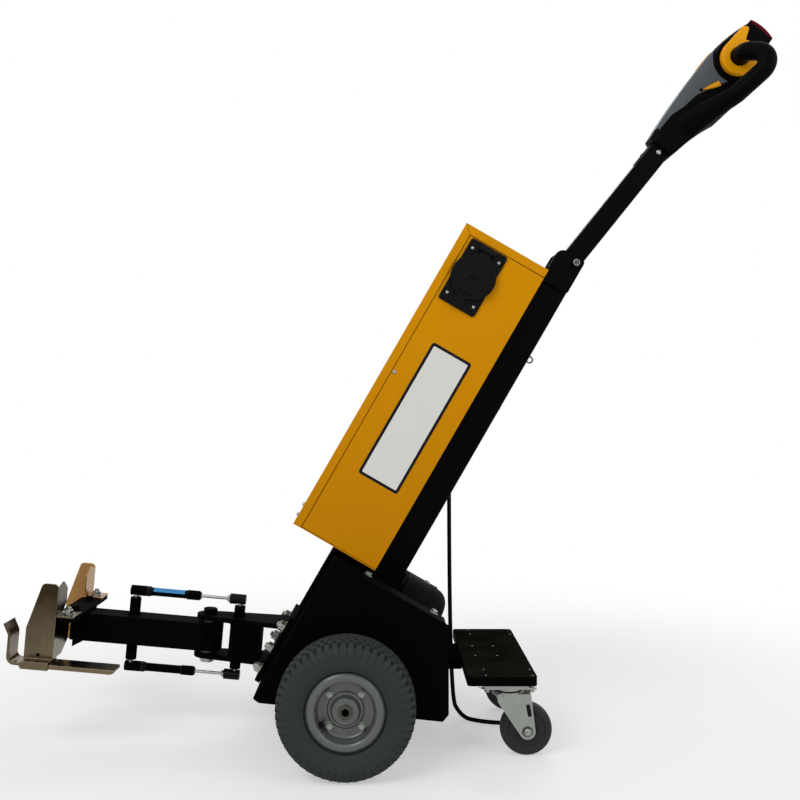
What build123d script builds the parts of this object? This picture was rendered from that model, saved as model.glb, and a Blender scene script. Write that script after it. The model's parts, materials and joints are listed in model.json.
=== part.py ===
"""Walk-behind electric cart tugger, in millimetres.

X runs from the hitch at the front to the tiller at the rear, Y from the left side to the right, Z up.
The origin is on the floor, under the middle of the overall length and width.
"""
import os
from math import cos, radians, sin, tan

from build123d import *

os.makedirs("parts", exist_ok=True)

SIDES = ((-1, "left"), (1, "right"))
LEVELS = ((1, "upper"), (-1, "lower"))

# Fits
running_fit = 0.06
seat_gap = 0.3
socket_gap = 0.1

# Drive wheels
axle_x = -90.98
tyre_od = 228.6
tyre_width = 89.0
tyre_crown = 46.0
tyre_panel_gap = 14.0
tyre_wall_gap = 2.0
tyre_belly_rise = 5.0
tyre_shoulder_drop = 7.0
tyre_shoulder_in = 6.0
rim_seat_r = 51.0
rim_flange_r = 64.5
rim_half = 34.0
rim_wall = 4.0
rim_disc_out = 14.0
rim_disc_thick = 6.0
rim_lip_slope = 14.5
rim_throat_drop = 11.0
rim_dish_r = 5.0
rim_step_r = 31.0
rim_step = 2.5
hub_r = 25.0
hub_face_r = 21.0
hub_out = 26.0
hub_in = 30.0
hub_ring_r = 12.2
hub_ring_high = 3.0
hub_socket_r = 6.7
hub_socket_deep = 8.0
shaft_r = 9.5
shaft_reach = 55.0
shaft_end_gap = 5.0
bead_gap = 0.2

# Chassis
chassis_width = 337.0
sheet = 5.0
chassis_front = -71.0
chassis_top = -18.0
chassis_behind = 172.0
chassis_rear_x = axle_x + chassis_behind
rear_low_z = 82.0
rear_toe_z = 70.0
rear_toe = 10.0
nose_z = 109.0
nose_toe = 10.0
nose_toe_drop = 7.0
flange_wide = 50.0
bend_r = 4.6
front_plate = 6.0
deck_rear = 68.0
rear_plate = 6.0
rear_plate_top = 170.0
shaft_hole_r = 14.0

# Mast and battery box, measured along and across the lean of the mast
mast_lean = 30.0
mast_behind = 47.0
mast_x = axle_x + mast_behind
mast_z = 325.8
mast_wide = 50.8
mast_deep = 62.0
mast_wall = 4.0
mast_over = 24.0
box_long = 588.0
box_deep = 160.0
box_wide = 337.0
box_wall = 2.0
cover_sheet = 1.5
cover_return = 13.0
battery_head_room = 188.0
battery_front_gap = 26.5
battery_side_gap = 15.0
mast_top = box_long + mast_over

# Charge inlet on the left side of the box
inlet_v = -104.5
inlet_down = 75.4
inlet_u = box_long - inlet_down
inlet_wide = 70.0
inlet_long = 117.0
inlet_plate = 3.0
inlet_corner = 5.0
socket_r = 24.0
socket_deep = 30.0
socket_wall = 2.5
lid_r = 39.0
lid_thick = 7.0
lid_hinge_reach = 49.0
lid_pin_r = 2.5
lid_knuckle_r = 5.0
lid_knuckle_half = 9.0
lid_pin_lift = 1.0
lid_ear = 6.0
lid_tab_wide = 16.0
lid_tab_long = 18.0
lid_edge = 1.5
lid_band_wide = 26.0
lid_band_long = 60.0
lid_band = 3.0
lid_pocket_wide = 18.0
lid_pocket_long = 24.0
lid_pocket_low = 24.0
lid_pocket_deep = 4.0

# Drive motor and gearcase
motor_r = 55.0
motor_u = -53.0
motor_front = 72.0
motor_end = 160.0
motor_end_r = 26.0
gear_barrel_r = 58.0
gear_barrel_half = 62.0
gear_cone_half = 92.0
axle_tube_r = 22.0
axle_flange_r = 34.0
axle_flange = 8.0
gearcase_front = 28.0
gearcase_half = 40.0
gearcase_top = -30.0

# Tiller pivot at the mast head
cheek = 6.3
cheek_lap = 18.0
cheek_rise = 51.0
cheek_front = 8.0
cheek_back = 62.5
cheek_round = 16.0
cheek_corner = 6.0
pivot_v = 48.0
pivot_rise = 40.0
pivot_u = mast_top + pivot_rise
pivot_bolt_r = 5.0
pivot_head_r = 7.0
pivot_head = 7.0

# Tiller tube and head
tiller_lean = 38.8
tiller_size = 38.1
tiller_wall = 3.0
tiller_corner_r = 4.0
tiller_ahead = 8.0
tiller_tail = 14.0
tiller_long = 306.0
tiller_boss_r = 14.0
tiller_insert = 30.3
head_lean = 41.0
head_ahead = 8.5
head_half = 27.0
head_front_r = 17.0
head_foot = -9.0
head_long = 274.0
front_foot = -28.0
front_mid = -39.5
front_mid_a = 72.0
front_brow = -45.5
front_brow_a = 150.0
front_upper = -43.0
front_upper_a = 225.0
front_end = -31.0
back_end = 22.0
back_hub = 30.0
back_hub_a = 190.0
back_hip = 33.0
back_hip_a = 60.0
back_foot = 23.0
hub_down = 71.0
hub_a = head_long - hub_down
hub_b = -3.0
hub_ring = 43.0
hub_boss_r = 40.0
face_low = 14.0
face_foot = -25.0
face_knee = -26.0
face_knee_a = 48.0
face_shelf = -19.0
face_shelf_a = 73.0
face_step = -15.0
face_step_a = 106.0
face_heel = 12.0
face_out = -60.0
grip_r = 16.5
loop_corner_r = 24.0
# Grip loop stations: up the head, behind its axis, out from its middle; half sizes across and along its flat
loop_foot = (40.0, 3.0, 14.0)
loop_foot_size = (13.0, 27.0)
loop_hip = (84.0, 18.0, 43.0)
loop_hip_size = (15.0, 21.0)
loop_knee = (128.0, 35.0, 78.0)
loop_corner = (hub_a + 19.0, 46.0, 113.0)
loop_elbow_y = 70.0
wing_r = 33.0
wing_inner = 31.0
wing_thick = 13.0
wing_core_r = 16.5
wing_gap = 1.0
wing_core_lap = 4.0
wing_edge_r = 3.0
wing_tip_r = 4.5
wing_blade_long = 53.0
wing_blade_in = 46.0
wing_blade_tip = 22.0
wing_blade_root = 10.0
wing_blade_root_a = 27.0
button_side = 4.0
button_reach = 8.0
button_half = 24.0
button_edge_r = 2.5

# Rear platform and casters
platform_behind = 203.5
platform_front = axle_x + platform_behind
platform_over = 44.0
platform_wide = 343.0
platform_z = 147.0
platform_skirt = 16.0
platform_sheet = 4.0
platform_corner = 8.0
neck_wide = 110.0
neck_thick = 19.0
caster_behind = 278.0
caster_x = axle_x + caster_behind
caster_y = 121.0
caster_trail = 31.0
caster_plate_long = 92.0
caster_plate_wide = 60.0
caster_plate = 4.0
caster_plate_z = 123.0
caster_wheel_r = 45.0
caster_wheel_wide = 32.0
caster_crown = 1.5
caster_edge = 4.0
caster_web_r = 31.0
caster_web_in = 2.5
caster_hub_wall = 5.0
caster_axle_r = 5.0
caster_race_r = 25.0
caster_race = 9.0
caster_race_cap = 5.0
caster_race_neck_r = 19.0
kingpin_r = 6.0
fork_leg = 4.0
fork_crown = 5.0
fork_gap = 3.0
fork_eye_r = 14.0
fork_front = 20.0
fork_rear = 37.0
fork_side_drop = 14.0
fork_race_lip = 2.0
fork_slot_long = 22.0
fork_slot_wide = 7.0
fork_slot_x = 33.5
fork_slot_z = 81.0
fork_slot_lean = 100.0

# Hitch: swing pin, clevis, arm
hitch_ahead = 264.5
hitch_x = axle_x - hitch_ahead
hitch_z = 177.5
hitch_pitch = 5.0
arm_size = 50.8
arm_wall = 5.0
arm_front = -252.0
arm_tail = 26.0
arm_bush_r = 15.0
arm_bush_wall = 5.0
hitch_pin_r = 8.0
hitch_pin_head = 10.0
hitch_pin_head_r = 13.0
clevis_gap = 61.0
clevis_plate = 9.0
clevis_round = 24.0
clevis_wide_half = 38.0
clevis_flare_x = 120.0
clevis_reach = 260.0
clevis_web_front = 42.0
clevis_web_rear = 99.0
clevis_washer_r = 17.0
clevis_back = 10.0
clevis_back_low = -297.0
clevis_back_high = -166.0
clevis_back_half = 60.0

# Gas springs above and below the arm
spring_z = 70.4
spring_arm_x = -141.0
spring_clevis_x = 54.0
post_r = 10.0
post_gap = 12.0
stud_r = 4.0
ball_r = 6.5
ball_socket_r = 9.5
ball_socket_back = 10.0
ball_socket_long = 20.0
cylinder_r = 7.5
cylinder_mouth = -22.0
cylinder_end = 16.0
sleeve_r = 8.8
sleeve_long = 22.0
stud_gap = 2.0
rod_r = 3.0
rod_tip = -52.0
rod_slack = 1.2

# Cross head, jaws and hooks
cross_plate = 8.0
cross_front = -262.0
cross_rear = -222.0
cross_half = 105.0
gusset = 8.0
gusset_low = -44.0
gusset_rear = -222.0
jaw_sheet = 3.0
jaw_y = 110.0
jaw_front = -303.0
jaw_rear = -252.0
jaw_top = 92.0
jaw_top_front = -280.0
jaw_nose_z = 12.0
jaw_low = -40.5
jaw_web_inner = 31.0
jaw_web_cut = 32.0
jaw_web_cut_z = 20.0
jaw_corner_r = 8.0
jaw_flange = 54.0
jaw_flange_cut = 15.0
jaw_flange_top = 32.0
jaw_flange_low = 18.0
jaw_foot = 45.0
jaw_hole_r = 2.5
jaw_hole_x = -278.0
jaw_hole_up = 7.0
hook_wide = 42.0
hook_bar = 5.0
hook_z = -43.8
hook_face = -326.0
hook_high = 3.0
hook_lip_x = -336.0
hook_lip_z = 22.0
hook_bend_r = 12.0
hook_tail = -138.0
hook_channel_front = -303.0
hook_channel_deep = 7.5
hook_channel_wall = 4.0
hook_tail_cut = 6.0
clip_wall = 2.0
clip_side_gap = 0.5
clip_front_gap = 3.0

# Drag cord and its elbow on the back of the box
cord_d = 8.0
floor_gap = 0.2
cord_behind = 188.7
cord_x = axle_x + cord_behind
cord_y = 64.0
elbow_z = 515.0
elbow_r = 9.0
elbow_tip_r = 6.0
elbow_drop = 24.0

# Frames of reference
lean = radians(mast_lean)
pitch = radians(hitch_pitch)
tilt = radians(tiller_lean)
nod = radians(head_lean)
axle_z = tyre_od / 2
half_chassis = chassis_width / 2
tyre_mid = half_chassis + tyre_panel_gap + tyre_width / 2
mast_frame = Plane(origin=(mast_x, 0, mast_z), x_dir=(cos(lean), 0, -sin(lean)), z_dir=(0, -1, 0))
hitch_frame = Plane(origin=(hitch_x, 0, hitch_z), x_dir=(cos(pitch), 0, -sin(pitch)),
                    z_dir=(sin(pitch), 0, cos(pitch)))
hitch_side = Plane(origin=(hitch_x, 0, hitch_z), x_dir=(cos(pitch), 0, -sin(pitch)), z_dir=(0, -1, 0))


def leaned(v, u):
    """X and Z of a point v behind the back of the box and u up the mast from the box's lower edge."""
    return mast_x + v * cos(lean) + u * sin(lean), mast_z - v * sin(lean) + u * cos(lean)


def span(x0, x1, y0, y1):
    """Rectangle between two corners, drawn in the sketch that is open."""
    with Locations(((x0 + x1) / 2, (y0 + y1) / 2)):
        Rectangle(abs(x1 - x0), abs(y1 - y0))


# Drive wheels: a pressed rim on its half shaft, and a foam-filled tyre
for side, tag in SIDES:
    wheel_origin = (axle_x, side * tyre_mid, axle_z)
    wheel_plane = Plane(origin=wheel_origin, x_dir=(1, 0, 0), z_dir=(0, 0, side))
    wheel_axis = Axis(wheel_origin, (0, 1, 0))
    rim_inner_r = rim_seat_r - rim_wall
    disc_in = rim_disc_out - rim_disc_thick
    seat_half = rim_half - rim_wall
    hub_top = hub_out + hub_ring_high
    shaft_end = tyre_mid - half_chassis + sheet + shaft_reach

    with BuildPart() as rim:
        with BuildSketch(wheel_plane):
            with BuildLine():
                Polyline((rim_flange_r, -seat_half), (rim_seat_r, -seat_half), (rim_seat_r, seat_half),
                         (rim_flange_r, seat_half))
                RadiusArc((rim_flange_r, seat_half), (rim_flange_r - rim_wall, rim_half), -rim_wall)
                Polyline((rim_flange_r - rim_wall, rim_half), (rim_flange_r - rim_lip_slope, rim_half),
                         (rim_inner_r, rim_half - rim_throat_drop), (rim_inner_r, rim_disc_out + rim_dish_r))
                RadiusArc((rim_inner_r, rim_disc_out + rim_dish_r), (rim_inner_r - rim_dish_r, rim_disc_out),
                          rim_dish_r)
                Polyline((rim_inner_r - rim_dish_r, rim_disc_out), (rim_step_r, rim_disc_out),
                         (rim_step_r - rim_step, rim_disc_out + rim_step), (hub_r, rim_disc_out + rim_step),
                         (hub_face_r, hub_out), (hub_ring_r, hub_out), (hub_ring_r, hub_out + hub_ring_high),
                         (hub_socket_r, hub_out + hub_ring_high), (hub_socket_r, hub_top - hub_socket_deep),
                         (0, hub_top - hub_socket_deep), (0, -shaft_end), (shaft_r, -shaft_end),
                         (shaft_r, -hub_in), (hub_r, -hub_in), (hub_r, disc_in), (rim_inner_r, disc_in),
                         (rim_inner_r, -rim_half + rim_throat_drop),
                         (rim_flange_r - rim_lip_slope, -rim_half), (rim_flange_r - rim_wall, -rim_half))
                RadiusArc((rim_flange_r - rim_wall, -rim_half), (rim_flange_r, -seat_half), -rim_wall)
            make_face()
        revolve(axis=wheel_axis)
    rim.part.label = f"drive_rim_{tag}"
    export_step(rim.part, f"parts/drive_rim_{tag}.step")

    with BuildPart() as tyre:
        bead_r = rim_seat_r + bead_gap
        bead_half = seat_half - bead_gap
        wall_r = rim_flange_r + tyre_wall_gap
        wall_half = rim_half + tyre_wall_gap
        belly_r = (rim_seat_r + axle_z) / 2 + tyre_belly_rise
        shoulder_r = axle_z - tyre_shoulder_drop
        shoulder_half = tyre_width / 2 - tyre_shoulder_in
        with BuildSketch(wheel_plane):
            with BuildLine():
                Polyline((wall_r, -wall_half), (wall_r, -bead_half), (bead_r, -bead_half),
                         (bead_r, bead_half), (wall_r, bead_half), (wall_r, wall_half))
                ThreePointArc((wall_r, wall_half), (belly_r, tyre_width / 2), (shoulder_r, shoulder_half))
                Polyline((shoulder_r, shoulder_half), (axle_z, tyre_crown / 2), (axle_z, -tyre_crown / 2),
                         (shoulder_r, -shoulder_half))
                ThreePointArc((shoulder_r, -shoulder_half), (belly_r, -tyre_width / 2), (wall_r, -wall_half))
            make_face()
        revolve(axis=wheel_axis)
    tyre.part.label = f"drive_tyre_{tag}"
    export_step(tyre.part, f"parts/drive_tyre_{tag}.step")

# Chassis side panels, folded inwards along the top
top_front = leaned(chassis_front, chassis_top)
top_rear_v = (chassis_rear_x - mast_x - chassis_top * sin(lean)) / cos(lean)
top_rear = leaned(top_rear_v, chassis_top)
nose_u = (nose_z - mast_z + chassis_front * sin(lean)) / cos(lean)
nose = leaned(chassis_front, nose_u)
for side, tag in SIDES:
    with BuildPart() as panel:
        with BuildSketch(Plane.XZ.offset(-side * half_chassis)):
            with BuildLine():
                Polyline(top_front, top_rear, (chassis_rear_x, rear_low_z),
                         (chassis_rear_x - rear_toe, rear_toe_z),
                         (nose[0] + nose_toe, nose[1] - nose_toe_drop), nose, close=True)
            make_face()
        extrude(amount=side * sheet)
        with BuildSketch(mast_frame.offset(-side * half_chassis)):
            span(chassis_front, top_rear_v - sheet, chassis_top - sheet, chassis_top)
        extrude(amount=side * flange_wide)
        skin_y = side * half_chassis
        outer = panel.edges().filter_by_position(Axis.Y, skin_y - seat_gap, skin_y + seat_gap)
        top_bend = outer.filter_by(Axis((0, 0, 0), (cos(lean), 0, -sin(lean)))).sort_by(Axis.Z)[-1]
        front_bend = outer.filter_by(Axis((0, 0, 0), (sin(lean), 0, cos(lean)))).sort_by(Axis.X)[0]
        fillet((top_bend, front_bend), radius=bend_r)
        with BuildSketch(Plane.XZ.offset(-side * half_chassis)):
            with Locations((axle_x, axle_z)):
                Circle(shaft_hole_r)
        extrude(amount=side * sheet, mode=Mode.SUBTRACT)
    panel.part.label = f"side_panel_{tag}"
    export_step(panel.part, f"parts/side_panel_{tag}.step")

# Front plate, folded back over the top as the deck under the mast
inside_half = half_chassis - sheet
with BuildPart() as front:
    with BuildSketch(mast_frame):
        with BuildLine():
            Polyline((chassis_front, nose_u), (chassis_front, chassis_top - sheet),
                     (deck_rear, chassis_top - sheet), (deck_rear, chassis_top - sheet - front_plate),
                     (chassis_front + front_plate, chassis_top - sheet - front_plate),
                     (chassis_front + front_plate, nose_u), close=True)
        make_face()
    extrude(amount=inside_half, both=True)
front.part.label = "front_plate"
export_step(front.part, "parts/front_plate.step")

with BuildPart() as rear:
    with BuildSketch(Plane.YZ.offset(chassis_rear_x)):
        span(-inside_half, inside_half, rear_low_z, rear_plate_top)
    extrude(amount=-rear_plate)
rear.part.label = "rear_plate"
export_step(rear.part, "parts/rear_plate.step")

# Transaxle: barrel, axle tubes and gearcase
tube_end = inside_half
shaft_inner = tyre_mid - shaft_end
with BuildPart() as transaxle:
    bore_r = shaft_r + running_fit
    half_outline = [(0, shaft_inner - shaft_end_gap), (bore_r, shaft_inner - shaft_end_gap),
                    (bore_r, tube_end), (axle_flange_r, tube_end), (axle_flange_r, tube_end - axle_flange),
                    (axle_tube_r, tube_end - axle_flange), (axle_tube_r, gear_cone_half),
                    (gear_barrel_r, gear_barrel_half)]
    outline = half_outline + [(r, -y) for r, y in reversed(half_outline)]
    with BuildSketch(Plane(origin=(axle_x, 0, axle_z), x_dir=(1, 0, 0), z_dir=(0, 0, 1))):
        with BuildLine():
            Polyline(*outline, close=True)
        make_face()
    revolve(axis=Axis((axle_x, 0, axle_z), (0, 1, 0)))
    axle_u = (axle_x - mast_x) * sin(lean) + (axle_z - mast_z) * cos(lean)
    with BuildSketch(mast_frame):
        span(gearcase_front, motor_front, axle_u, gearcase_top)
    extrude(amount=gearcase_half, both=True)
transaxle.part.label = "transaxle"
export_step(transaxle.part, "parts/transaxle.step")

with BuildPart() as motor:
    motor_origin = leaned(motor_front, motor_u)
    motor_plane = Plane(origin=(motor_origin[0], 0, motor_origin[1]), x_dir=(0, 1, 0),
                        z_dir=(cos(lean), 0, -sin(lean)))
    with BuildSketch(motor_plane):
        Circle(motor_r)
    extrude(amount=motor_end - motor_front)
    motor_axis = Axis(motor_plane.origin, motor_plane.z_dir)
    fillet(motor.faces().sort_by(motor_axis)[-1].edges(), radius=motor_end_r)
motor.part.label = "drive_motor"
export_step(motor.part, "parts/drive_motor.step")

# Mast tube, standing on the deck
with BuildPart() as mast:
    with BuildSketch(mast_frame):
        span(0, mast_deep, chassis_top - sheet, mast_top)
    extrude(amount=mast_wide / 2, both=True)
    fillet(mast.edges().filter_by(Axis((0, 0, 0), (sin(lean), 0, cos(lean)))), radius=mast_wall)
    with BuildSketch(mast_frame):
        span(mast_wall, mast_deep - mast_wall, chassis_top - sheet, mast_top - mast_wall)
    extrude(amount=mast_wide / 2 - mast_wall, both=True, mode=Mode.SUBTRACT)
mast.part.label = "mast"
export_step(mast.part, "parts/mast.step")

# Battery box: body with back, sides and floor, cover with front and top, battery inside
body_half = box_wide / 2 - cover_sheet
body_front = -box_deep + cover_sheet
body_top = box_long - cover_sheet
with BuildPart() as box_body:
    with BuildSketch(mast_frame):
        span(body_front, 0, 0, body_top)
    extrude(amount=body_half, both=True)
    with BuildSketch(mast_frame):
        span(body_front, -box_wall, box_wall, body_top)
    extrude(amount=body_half - box_wall, both=True, mode=Mode.SUBTRACT)
    with BuildSketch(mast_frame.offset(body_half)):
        with Locations((inlet_v, inlet_u)):
            Circle(socket_r + socket_wall + seat_gap)
    extrude(amount=-box_wall, mode=Mode.SUBTRACT)
box_body.part.label = "battery_box_body"
export_step(box_body.part, "parts/battery_box_body.step")

with BuildPart() as cover:
    with BuildSketch(mast_frame):
        span(-box_deep, 0, 0, box_long)
    extrude(amount=box_wide / 2, both=True)
    with BuildSketch(mast_frame):
        span(body_front, 0, 0, body_top)
    extrude(amount=body_half, both=True, mode=Mode.SUBTRACT)
    with BuildSketch(mast_frame):
        span(body_front + cover_return, 0, 0, body_top - cover_return)
    extrude(amount=box_wide / 2, both=True, mode=Mode.SUBTRACT)
cover.part.label = "battery_box_cover"
export_step(cover.part, "parts/battery_box_cover.step")

with BuildPart() as battery:
    with BuildSketch(mast_frame):
        span(body_front + battery_front_gap, -box_wall, box_wall, box_wall + box_long - battery_head_room)
    extrude(amount=body_half - box_wall - battery_side_gap, both=True)
battery.part.label = "battery"
export_step(battery.part, "parts/battery.step")

# Charge inlet: plate and socket on the box, and a lid hinged above the socket
inlet_plane = mast_frame.offset(body_half)
hinge_u = inlet_u + lid_hinge_reach
hinge_out = inlet_plate + lid_knuckle_r + lid_pin_lift
with BuildPart() as inlet:
    with BuildSketch(inlet_plane):
        with Locations((inlet_v, inlet_u)):
            RectangleRounded(inlet_wide, inlet_long, inlet_corner)
            Circle(socket_r, mode=Mode.SUBTRACT)
    extrude(amount=inlet_plate)
    with BuildSketch(inlet_plane):
        with Locations((inlet_v, inlet_u)):
            Circle(socket_r + socket_wall)
            Circle(socket_r, mode=Mode.SUBTRACT)
    extrude(amount=-socket_deep)
    with BuildSketch(inlet_plane.offset(-socket_deep)):
        with Locations((inlet_v, inlet_u)):
            Circle(socket_r + socket_wall)
    extrude(amount=socket_wall)
    for hand in (-1, 1):
        ear_v = inlet_v + hand * (lid_knuckle_half + seat_gap + lid_ear / 2)
        with BuildSketch(inlet_plane):
            span(ear_v - lid_ear / 2, ear_v + lid_ear / 2, hinge_u - lid_knuckle_r, hinge_u + lid_knuckle_r)
        extrude(amount=hinge_out)
        ear_end = inlet_plane.from_local_coords((ear_v - lid_ear / 2, hinge_u, hinge_out))
        with BuildSketch(Plane(origin=ear_end, x_dir=(0, 1, 0), z_dir=mast_frame.x_dir)):
            Circle(lid_knuckle_r)
        extrude(amount=lid_ear)
    pin_half = lid_knuckle_half + seat_gap + lid_ear
    pin_end = inlet_plane.from_local_coords((inlet_v - pin_half, hinge_u, hinge_out))
    with BuildSketch(Plane(origin=pin_end, x_dir=(0, 1, 0), z_dir=mast_frame.x_dir)):
        Circle(lid_pin_r)
    extrude(amount=2 * pin_half)
inlet.part.label = "charge_inlet"
export_step(inlet.part, "parts/charge_inlet.step")

lid_base = inlet_plate + seat_gap
with BuildPart() as lid:
    with BuildSketch(inlet_plane.offset(lid_base)):
        with Locations((inlet_v, inlet_u)):
            Circle(lid_r)
        span(inlet_v - lid_tab_wide / 2, inlet_v + lid_tab_wide / 2, inlet_u - lid_r - lid_tab_long, inlet_u)
        span(inlet_v - lid_knuckle_half, inlet_v + lid_knuckle_half, inlet_u, hinge_u)
    extrude(amount=lid_thick)
    lid_circles = lid.edges().filter_by(GeomType.CIRCLE)
    rim_edge = lid_circles.filter_by(lambda edge: abs(edge.radius - lid_r) < seat_gap)
    chamfer(rim_edge.group_by(Axis.Y)[0], length=lid_edge)
    with BuildSketch(inlet_plane.offset(lid_base + lid_thick)):
        with Locations((inlet_v, inlet_u)):
            RectangleRounded(lid_band_wide, lid_band_long, inlet_corner)
    extrude(amount=lid_band)
    with BuildSketch(inlet_plane.offset(lid_base + lid_thick + lid_band)):
        with Locations((inlet_v, inlet_u - lid_pocket_low + lid_pocket_long / 2)):
            RectangleRounded(lid_pocket_wide, lid_pocket_long, inlet_corner)
    extrude(amount=-lid_pocket_deep, mode=Mode.SUBTRACT)
    knuckle_end = inlet_plane.from_local_coords((inlet_v - lid_knuckle_half, hinge_u, hinge_out))
    with BuildSketch(Plane(origin=knuckle_end, x_dir=(0, 1, 0), z_dir=mast_frame.x_dir)):
        Circle(lid_knuckle_r)
    extrude(amount=2 * lid_knuckle_half)
    with BuildSketch(Plane(origin=knuckle_end, x_dir=(0, 1, 0), z_dir=mast_frame.x_dir)):
        Circle(lid_pin_r + running_fit)
    extrude(amount=2 * lid_knuckle_half, mode=Mode.SUBTRACT)
lid.part.label = "inlet_lid"
export_step(lid.part, "parts/inlet_lid.step")

# Mast head: two cheeks and the pivot bolt
with BuildPart() as cheeks:
    for side, tag in SIDES:
        with BuildSketch(mast_frame.offset(-side * mast_wide / 2)):
            span(cheek_front, cheek_back, mast_top - cheek_lap, mast_top + cheek_rise)
            with Locations((pivot_v, pivot_u)):
                Circle(pivot_bolt_r, mode=Mode.SUBTRACT)
        extrude(amount=-side * cheek)
    corners = cheeks.edges().filter_by(Axis.Y).filter_by(GeomType.LINE).group_by(Axis.Z)
    fillet(corners[-1], radius=cheek_round)
    fillet(corners[0] + corners[-2], radius=cheek_corner)
cheeks.part.label = "mast_bracket"
export_step(cheeks.part, "parts/mast_bracket.step")

pivot_x, pivot_z = leaned(pivot_v, pivot_u)
with BuildPart() as pivot:
    with BuildSketch(Plane(origin=(pivot_x, 0, pivot_z), x_dir=(1, 0, 0), z_dir=(0, -1, 0))):
        Circle(pivot_bolt_r)
    extrude(amount=mast_wide / 2 + cheek, both=True)
    for side, tag in SIDES:
        with BuildSketch(Plane(origin=(pivot_x, side * (mast_wide / 2 + cheek), pivot_z), x_dir=(1, 0, 0),
                               z_dir=(0, side, 0))):
            Circle(pivot_head_r)
        extrude(amount=pivot_head)
pivot.part.label = "tiller_pivot"
export_step(pivot.part, "parts/tiller_pivot.step")

# Tiller tube: its centreline runs ahead of the pivot, with a bush on each side
tiller_side = Plane(origin=(pivot_x, 0, pivot_z), x_dir=(cos(tilt), 0, -sin(tilt)), z_dir=(0, -1, 0))
with BuildPart() as tiller:
    with BuildSketch(tiller_side):
        span(-tiller_ahead - tiller_size / 2, -tiller_ahead + tiller_size / 2, -tiller_tail, tiller_long)
    extrude(amount=tiller_size / 2, both=True)
    fillet(tiller.edges().filter_by(Axis((0, 0, 0), tiller_side.y_dir)), radius=tiller_corner_r)
    inner_half = tiller_size / 2 - tiller_wall
    with BuildSketch(tiller_side):
        span(-tiller_ahead - inner_half, -tiller_ahead + inner_half, -tiller_tail, tiller_long)
    extrude(amount=inner_half, both=True, mode=Mode.SUBTRACT)
    with BuildSketch(tiller_side):
        Circle(tiller_boss_r)
    extrude(amount=mast_wide / 2 - seat_gap, both=True)
    with BuildSketch(tiller_side):
        Circle(pivot_bolt_r + running_fit)
    extrude(amount=mast_wide / 2, both=True, mode=Mode.SUBTRACT)
tiller.part.label = "tiller_tube"
export_step(tiller.part, "parts/tiller_tube.step")

# Tiller head: one moulded form, split into shell and face
head_origin = tiller_side.from_local_coords((-head_ahead, tiller_long - tiller_insert, 0))
head_frame = Plane(origin=head_origin, x_dir=(cos(nod), 0, -sin(nod)), z_dir=(sin(nod), 0, cos(nod)))
head_side = Plane(origin=head_origin, x_dir=(cos(nod), 0, -sin(nod)), z_dir=(0, -1, 0))
with BuildPart() as head_form:
    with BuildSketch(head_side):
        with BuildLine():
            ThreePointArc((front_foot, head_foot), (front_mid, front_mid_a), (front_brow, front_brow_a))
            ThreePointArc((front_brow, front_brow_a), (front_upper, front_upper_a), (front_end, head_long))
            Polyline((front_end, head_long), (back_end, head_long), (back_hub, back_hub_a),
                     (back_hip, back_hip_a), (back_foot, head_foot), (front_foot, head_foot))
        make_face()
    extrude(amount=head_half, both=True)
    flank = head_form.faces().filter_by(Axis.Y).edges()
    fillet(flank.filter_by(GeomType.CIRCLE), radius=head_front_r)

heel_a = hub_a - (hub_ring ** 2 - (face_heel - hub_b) ** 2) ** 0.5
ring_left = hub_b - hub_ring
with BuildPart() as face_block:
    with BuildSketch(head_side):
        with BuildLine():
            Polyline((face_out, hub_a), (face_out, face_low), (face_foot, face_low), (face_knee, face_knee_a),
                     (face_shelf, face_shelf_a), (face_step, face_step_a), (face_heel, heel_a))
            RadiusArc((face_heel, heel_a), (ring_left, hub_a), hub_ring)
            Line((ring_left, hub_a), (face_out, hub_a))
        make_face()
    extrude(amount=head_half, both=True)

with BuildPart() as face:
    add(head_form.part)
    add(face_block.part, mode=Mode.INTERSECT)
face.part.label = "tiller_face"
export_step(face.part, "parts/tiller_face.step")

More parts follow.
